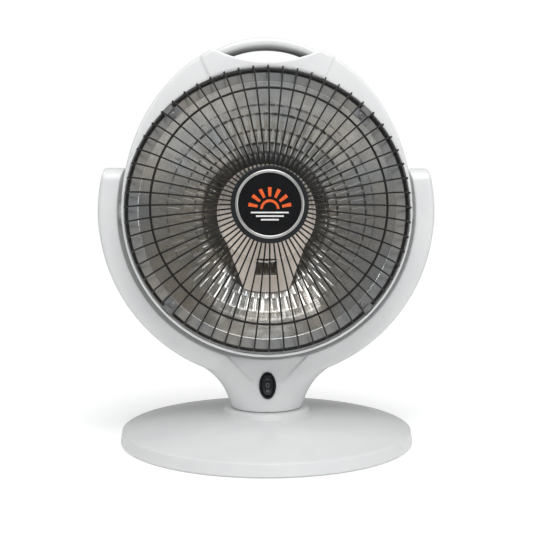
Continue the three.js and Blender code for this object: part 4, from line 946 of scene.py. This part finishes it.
brick_edges = [BRICK_OUTER, BRICK_START]
while brick_edges[-1] > 30:
    brick_edges.append(brick_edges[-1] * BRICK_SHRINK)


def dish_y(r):
    """How far back the plain dish is at a radius."""
    return vertex_y - DISH_DEPTH * (r / DISH_RADIUS) ** 2


def emboss(r, turn):
    """How far the bricks stand forward of the plain dish; turn is a share of the circle."""
    for row, (outer_edge, inner_edge) in enumerate(zip(brick_edges, brick_edges[1:])):
        if inner_edge < r <= outer_edge:
            across = 2 * (r - inner_edge) / (outer_edge - inner_edge) - 1
            along = 2 * ((turn * BRICKS + row / 2) % 1) - 1
            height = BRICK_HEIGHT * (FIRST_ROW if row == 0 else 1)
            return height * (1 - across**BRICK_SQUARENESS) * (1 - along**BRICK_SQUARENESS)
    return 0


radii = [SOCKET_BORE + 3 * i for i in range(5)]
radii += [30 + i for i in range(92)]
radii += [124, 127, 130, 133, 135, 136.5, 137.3, 138, 138.8, 140, 143, 146, 149, DISH_EDGE]
rings = []
for r in radii:
    ring_points = []
    for i in range(SPAN_STEPS):
        turn = i / SPAN_STEPS
        x = r * math.cos(2 * math.pi * turn)
        z = r * math.sin(2 * math.pi * turn)
        wave = noise.noise(Vector((x, z, 0)) / DENT_SPACING) * DENT
        wave += noise.noise(Vector((x, z, 9)) / RIPPLE_SPACING) * RIPPLE
        y = max(dish_y(r), flange_y)
        if r < DISH_RADIUS:
            fade = min(1, (DISH_RADIUS - r) / FADE, (r - SOCKET_BORE) / FADE)
            y += wave * fade - emboss(r, turn)
        else:
            y += 0.1 * abs(wave)
        ring_points.append((x, max(y, flange_y), z))
    rings.append(ring_points)
outermost = rings[-1]
for r in (DISH_EDGE, 139, 137, 110, 80, 50, SOCKET_BORE):
    y = max(dish_y(r), flange_y) + (FLANGE_SHEET if r > DISH_RADIUS else DISH_SHEET)
    inward = r / DISH_EDGE
    rings.append([(x * inward, min(y, vertex_y + 1), z * inward) for x, _, z in outermost])
dish = skinned(rings)
combine("DIFFERENCE", dish, *at_screws(SCREW_HOLE, flange_y - 7, flange_y + 13, 16))
put(dish, "reflector_dish", head_frame, aluminium, "head", "polished_aluminium", "reflector", sharp=50)

# -------------------------------- wire guard
# Sixty bent steel wires welded to a frame ring, a middle hoop and an inner hoop, powder coated near black.
SPOKES = 60
SPOKE_WIRE = 1.7
BRACE_WIRE = 2.4
BRACE_RADIUS = 121
GUARD_DOME = 26
DOME_SHARPNESS = 5.5
HUB_RADIUS = 39.5
CLIP_SCREW_LENGTH = 14
shoulder_y = ring_y - 22
hub_y = shoulder_y - GUARD_DOME

# Powder coat: near black and a little warm, with the soft sheen of a coat that has flowed out.
coated_wire = made_of(
    "steel wire, black powder coat", (20, "0E0D0C", "161412"), (4, 0.36, 0.48),
    {"IOR": 1.52, "Specular IOR Level": 0.3}, (0.6, 0.015),
)


def dome_front(r):
    """The cage's front at a radius."""
    share = max(0, (r - HUB_RADIUS) / (GUARD_RADIUS - HUB_RADIUS))
    return hub_y + GUARD_DOME * share**DOME_SHARPNESS


def tube(path, radius, sides=8):
    """A wire along a path of points."""
    points = [Vector(p) for p in path]
    sections = []
    side = None
    for i, here in enumerate(points):
        ahead = (points[min(i + 1, len(points) - 1)] - points[max(i - 1, 0)]).normalized()
        if side is None:
            side = ahead.orthogonal()
        side = (side - ahead * side.dot(ahead)).normalized()
        other = ahead.cross(side)
        sections.append([here + radius * (c * side + s * other) for c, s in circle(sides)])
    return lofted(sections)


def hoop(radius, y, wire, steps=240):
    """A wire ring round the Y axis."""
    return turned([(radius + wire / 2 * c, y + wire / 2 * s) for c, s in circle(12)], steps)


def joined(forms):
    """Several forms as one object."""
    whole = bmesh.new()
    for form in forms:
        whole.from_mesh(form.data)
        bpy.data.objects.remove(form)
    return as_object(whole)


wire_path = [(GUARD_RADIUS, ring_y, 0), (GUARD_RADIUS, ring_y - 9, 0)]
wire_path.append((GUARD_RADIUS - 0.1, shoulder_y + 4, 0))
for inward in (1.3, 2.6, 4.2, 6.2, 8.7, 12, 17, 23, 33, 45, 60, 80, 100):
    r = GUARD_RADIUS - inward
    wire_path.append((r, dome_front(r), 0))
wire_path.append((HUB_RADIUS - 6, hub_y, 0))
wires = [at_angle(tube(wire_path, SPOKE_WIRE / 2), 0, 360 * i / SPOKES) for i in range(SPOKES)]
brace_y = dome_front(BRACE_RADIUS) + SPOKE_WIRE / 2 + 0.2 * BRACE_WIRE
wires += [hoop(GUARD_RADIUS, ring_y, RING_WIRE), hoop(BRACE_RADIUS, brace_y, BRACE_WIRE)]
cage = joined([*wires, hoop(HUB_RADIUS - 6, hub_y, BRACE_WIRE, 120)])
put(cage, "wire_guard_cage", head_frame, coated_wire, "head", "guard_wire", "wire_guard", sharp=60)

# Four short self-tapping screws hold the guard's clips.
clip_screw_seat = flange_y - 2 * GAP - 1
for i, angle in enumerate(DIAGONALS, 1):
    form = at_angle(moved(screw(CLIP_SCREW_LENGTH), 0, clip_screw_seat, 0), screw_circle, angle)
    put_screw(form, "clip_screw", i, head_frame, "head")

# -------------------------------- hub and badge
# A black moulded cap over the wires' ends. A domed badge sits in it, held by a silver trim ring; its print
# is a plain device of this model's own: a half sun over three lines.
BADGE_RADIUS = 31.5
RING_WIDTH = 3.4
RING_CROWN = 0.85
BADGE_DISH = 1.6
BADGE_ROUND = 2.6
hub_back = hub_y - SPOKE_WIRE / 2 - GAP
hub_front = hub_back - 5.5
badge_seat = hub_front + 3
ring_edge = BADGE_RADIUS + RING_WIDTH + GAP
hub_line = [(0, badge_seat, 0), (ring_edge, badge_seat, 0.2), (ring_edge, hub_front + 0.3, 0.4)]
hub_line += [(HUB_RADIUS - 1, hub_front + 0.1, 1), (HUB_RADIUS, hub_front + 1.8, 1)]
hub_line += [(HUB_RADIUS, hub_back, 0.5), (0, hub_back, 0)]
hub_cap = turned(rounded(hub_line), 144)
put(hub_cap, "hub_cap", head_frame, satin_black, "head", "black_plastic", "guard_hub")

# Satin silver: vacuum-plated plastic, a soft grey mirror.
satin_silver = made_of(
    "ABS, vacuum plated satin silver", (10, "BDBDBC", "C8C8C6"), (5, 0.28, 0.36), {"Metallic": 1}
)
half_ring = RING_WIDTH / 2 - GAP / 2
ring_middle = BADGE_RADIUS + GAP + half_ring
arch = [(ring_middle + x, hub_front + 0.4 - up) for x, up in ellipse(half_ring, RING_CROWN, 0, 180, 18)]
ring_foot = [(ring_middle - half_ring, badge_seat - GAP), (ring_middle + half_ring, badge_seat - GAP)]
silver_ring = turned([*arch, *ring_foot])
put(silver_ring, "badge_ring_trim", head_frame, satin_silver, "head", "silver_trim", "badge_ring")

# Black gloss lacquer over the badge's print, nearly flawless.
gloss_black = made_of(
    "black lacquer, gloss", (15, "0B0C0E", "101113"), (9, 0.1, 0.16), {"IOR": 1.5, "Specular IOR Level": 0.3}
)


def badge_y(r):
    """The badge's domed front at a radius."""
    return hub_front - 0.4 + BADGE_DISH * (r / BADGE_RADIUS) ** BADGE_ROUND


lens = [(BADGE_RADIUS * i / 24, badge_y(BADGE_RADIUS * i / 24)) for i in range(25)]
badge = turned([*lens, (BADGE_RADIUS, badge_seat - GAP), (0, badge_seat - GAP)], 144)
put(badge, "badge_face_dome", head_frame, gloss_black, "head", "black_plastic", "badge_face")


def on_badge(x, z):
    """The badge's front at a point."""
    return badge_y(math.hypot(x, z))


def printed(name, near, far, ink, rows=5):
    """Screen ink on the badge between two lines of (across, up) points, in rows that follow the dome."""
    pairs = [(Vector(one), Vector(other)) for one, other in zip(near, far)]
    lines = [[one.lerp(other, i / rows) for one, other in pairs] for i in range(rows + 1)]
    form = ink_form(lines, on_badge, 0.05, 0.05)
    put(form, f"badge_print_{name}", head_frame, ink, "head", "black_plastic")


# Screen inks: full, even colours, a little duller than the lacquer round them.
orange_ink = made_of("screen ink, orange", (2, "E2551E", "EE6A2C"), 0.35, {"IOR": 1.5})
white_ink = made_of("screen ink, white", (2, "E6E6E4", "F0F0EE"), 0.35, {"IOR": 1.5})


SUN_DROP = 5


def arc(radius, start, end, steps=24):
    """Points of an arc round the sun's middle, between two angles in degrees."""
    return [(x, z - SUN_DROP) for x, z in ellipse(radius, radius, start, end, steps)]


printed("sun", arc(7, 0, 180), arc(9.6, 0, 180), orange_ink)
RAYS = 7
RAY_START = 12
RAY_NEAR = 12.5
RAY_FAR = 22
for i in range(RAYS):
    middle = RAY_START + (180 - 2 * RAY_START) * i / (RAYS - 1)
    near = arc(RAY_NEAR, middle - 6, middle + 6, steps=4)
    far = arc(RAY_FAR, middle - 5, middle + 5, steps=4)
    printed(f"ray_{i + 1}", near, far, orange_ink)
LINE_WEIGHT = 1.5
for i, (low, half_width) in enumerate(((-9.4, 19), (-13, 14), (-16.6, 9))):
    across = [half_width * (step / 12 - 1) for step in range(25)]
    near, far = ([(x, up) for x in across] for up in (low, low + LINE_WEIGHT))
    printed(f"line_{i + 1}", near, far, white_ink)

# -------------------------------- heating element
# A ceramic cone wound with a resistance coil stands in the dish's focus, in front of a pressed steel shield
# with a polished lip. The shield's tongue reaches down to the dish, with a punched window in it.
SHIELD_RADIUS = 55
SHIELD_REACH = 88
SHIELD_FOOT = 23.5
SHIELD_BACKSET = 8
SHIELD_SHEET = 1.2
SHIELD_LIP = 3
LIP_BEAD = 2.1
WINDOW_HALF = 11.75
CORE_RADIUS = 15
CORE_TIP = 7
CORE_LENGTH = 58
STEM_RADIUS = 5
COIL_TURNS = 6
COIL_OUTER = 1.1
FINE_WIRE = 0.28
FINE_PITCH = 0.95
SHADE_LOW = -22
SHADE_HIGH = 14
SHADE_WANDER = 9
shield_back = SHIELD_BACKSET + SHIELD_SHEET
core_back = SHIELD_BACKSET - GAP
window_low = -0.78 * SHIELD_REACH


def painted_shade_share(tree):
    """A number from 0 low on the tongue to 1 high on the disc, with a boundary that wanders: a painted shade that
    darkens the upper part.
    """
    place = add_node(tree, "ShaderNodeTexCoord")
    parts = add_node(tree, "ShaderNodeSeparateXYZ", {0: place.outputs["Object"]})
    wander = mottled(tree, 18, -SHADE_WANDER / 1000, SHADE_WANDER / 1000)
    height = add_node(tree, "ShaderNodeMath", {0: parts.outputs[2], 1: wander}, operation="ADD")
    # Painted shade: the shield's colour goes darker towards its top.
    ends = {0: height, 1: pivot.z + SHADE_LOW / 1000, 2: pivot.z + SHADE_HIGH / 1000, 3: 0, 4: 1}
    return add_node(tree, "ShaderNodeMapRange", ends)


# Aluminised steel: pale and warm below; higher up, behind the coil, a painted shade darkens and greys it.
steel_with_painted_shade = made_of(
    "aluminised steel, painted shade above", (0, "E0D5CB", "A39C95"), (10, 0.38, 0.52),
    {"Metallic": 0.2}, (3, 0.02), painted_shade_share,
)

# Polished steel with a real shine, and a near-white colour that paints a highlight: a light line all round the
# disc.
polished_steel_painted_highlight = made_of("steel lip, polished, painted highlight", (12, "EAE8E4", "F2F0EC"), (6, 0.2, 0.3), {"Metallic": 0.5})

lip_y = SHIELD_BACKSET - SHIELD_LIP
disc_line = [(0, SHIELD_BACKSET, 0), (SHIELD_RADIUS - 4, SHIELD_BACKSET, 2)]
disc_line += [(SHIELD_RADIUS - SHIELD_SHEET, lip_y, 0.3), (SHIELD_RADIUS, lip_y, 0.3)]
disc_line += [(SHIELD_RADIUS, SHIELD_BACKSET, 0.8), (SHIELD_RADIUS - 3, shield_back, 1), (0, shield_back, 0)]
disc = turned(rounded(disc_line), 144)
foot_line = [(-0.8 * SHIELD_RADIUS, -0.6 * SHIELD_RADIUS), (-SHIELD_FOOT, -SHIELD_REACH)]
tongue = extruded([*foot_line, *[(-x, z) for x, z in reversed(foot_line)]], SHIELD_BACKSET, shield_back)
seat_radius = DISH_RADIUS * math.sqrt((vertex_y - shield_back - 1) / DISH_DEPTH)
combine("INTERSECT", tongue, rod(seat_radius, -FAR, FAR, 144))
ledge_low = (-WINDOW_HALF - 3, SHIELD_BACKSET - 7, window_low - 2)
ledge_high = (WINDOW_HALF + 6, SHIELD_BACKSET + 1, window_low - 0.6)
combine("UNION", disc, tongue, box(ledge_low, ledge_high))
window = box((-WINDOW_HALF, -50, window_low), (WINDOW_HALF, 50, window_low + 1.55 * WINDOW_HALF))
combine("DIFFERENCE", disc, window, rod(STEM_RADIUS + GAP, -50, 50))
put(disc, "element_shield_plate", head_frame, steel_with_painted_shade, "head", "cream_enamel", "element_shield")
lip = hoop(SHIELD_RADIUS - LIP_BEAD / 2, lip_y + LIP_BEAD / 2, LIP_BEAD, 144)
put(lip, "element_shield_lip", head_frame, polished_steel_painted_highlight, "head", "cream_enamel")

# Steatite: off-white unglazed ceramic, chalky, with faint scorching.
steatite = made_of("steatite ceramic, unglazed", (9, "DDD6C8", "E9E4D8"), 0.75, {"IOR": 1.56}, (0.8, 0.03))
tip_y = core_back - CORE_LENGTH
stem_end = shield_back + GAP + 8
core_line = [(0, tip_y, 0), (0.6 * CORE_TIP, tip_y, 1), (CORE_TIP, tip_y + 2, 1)]
core_line += [(CORE_RADIUS, core_back - 6, 0.5), (CORE_RADIUS + 5, core_back - 6, 1)]
core_line += [(CORE_RADIUS + 5, core_back, 1), (STEM_RADIUS, core_back, 0), (STEM_RADIUS, stem_end, 0.5)]
core = turned(rounded([*core_line, (0, stem_end, 0)]), 96)
put(core, "element_core_cone", head_frame, steatite, "head", "ceramic", "element_core")

# The coil is a close helix of fine wire, itself wound round the cone; heat has turned it dark grey-brown.
oxidised = made_of(
    "nickel-chrome wire, oxidised", (4, "6A625A", "857C72"), (3, 0.4, 0.55), {"Metallic": 0.9}
)
coil_length = CORE_LENGTH - 14
cone_length = CORE_LENGTH - 8
coil_start = core_back - 6 - GAP - 2 * COIL_OUTER
clearance = COIL_OUTER + GAP + CORE_RADIUS * (1 - math.cos(math.pi / 8))


def coil_centre(share):
    """The coil's middle line, from the collar to the tip."""
    cone = CORE_RADIUS + (CORE_TIP - CORE_RADIUS) * share * coil_length / cone_length
    out = cone + clearance
    a = 2 * math.pi * COIL_TURNS * share
    return Vector((out * math.cos(a), coil_start - coil_length * share, out * math.sin(a)))


middle_radius = (CORE_RADIUS + CORE_TIP) / 2 + clearance
fine_turns = round(2 * math.pi * middle_radius * COIL_TURNS / FINE_PITCH)
fine_path = []
for i in range(8 * fine_turns + 1):
    share = i / (8 * fine_turns)
    here = coil_centre(share)
    ahead = (coil_centre(share + 1e-4) - here).normalized()
    out = Vector((here.x, 0, here.z)).normalized()
    a = 2 * math.pi * i / 8
    side = math.cos(a) * out + math.sin(a) * ahead.cross(out)
    fine_path.append(here + (COIL_OUTER - FINE_WIRE) * side)
coil = tube(fine_path, FINE_WIRE, 5)
put(coil, "element_coil_wound", head_frame, oxidised, "head", "resistance_wire", "element_coil", sharp=80)

# -------------------------------- pieces kept from the CAD model
# What is inside or small keeps its CAD shape, such as the counterweight, the clamps, bolts, nuts, washers
# and bushes, the terminal block and the bodies of the switches. Each gets the finish of its slot.
# Cast iron: dark grey-brown and gritty, with hardly any shine.
cast_iron = made_of(
    "cast iron, as cast", (10, "45423E", "57534E"), (5, 0.6, 0.75), {"Metallic": 0.7}, (1.2, 0.15)
)

# Natural nylon: a milky off-white that lets a little light in.
nylon = made_of(
    "natural nylon, moulded", (12, "DAD9D2", "E2E1DB"), (6, 0.42, 0.52),
    {"IOR": 1.53, "Subsurface Weight": 0.1},
)

slot_finish = {
    "white_plastic": gloss_white,
    "black_plastic": satin_black,
    "zinc_steel": zinc,
    "cast_iron": cast_iron,
    "nylon": nylon,
    "polished_aluminium": aluminium,
    "guard_wire": coated_wire,
    "silver_trim": satin_silver,
    "cream_enamel": steel_with_painted_shade,
    "ceramic": steatite,
    "resistance_wire": oxidised,
    "rubber": rubber,
}
for row in frame["record"]["subparts"]:
    kept_piece = frame["nodes"][row["node"]]
    finish = slot_finish[row["material_slot"]]
    for place in kept_piece.material_slots:
        place.material = finish
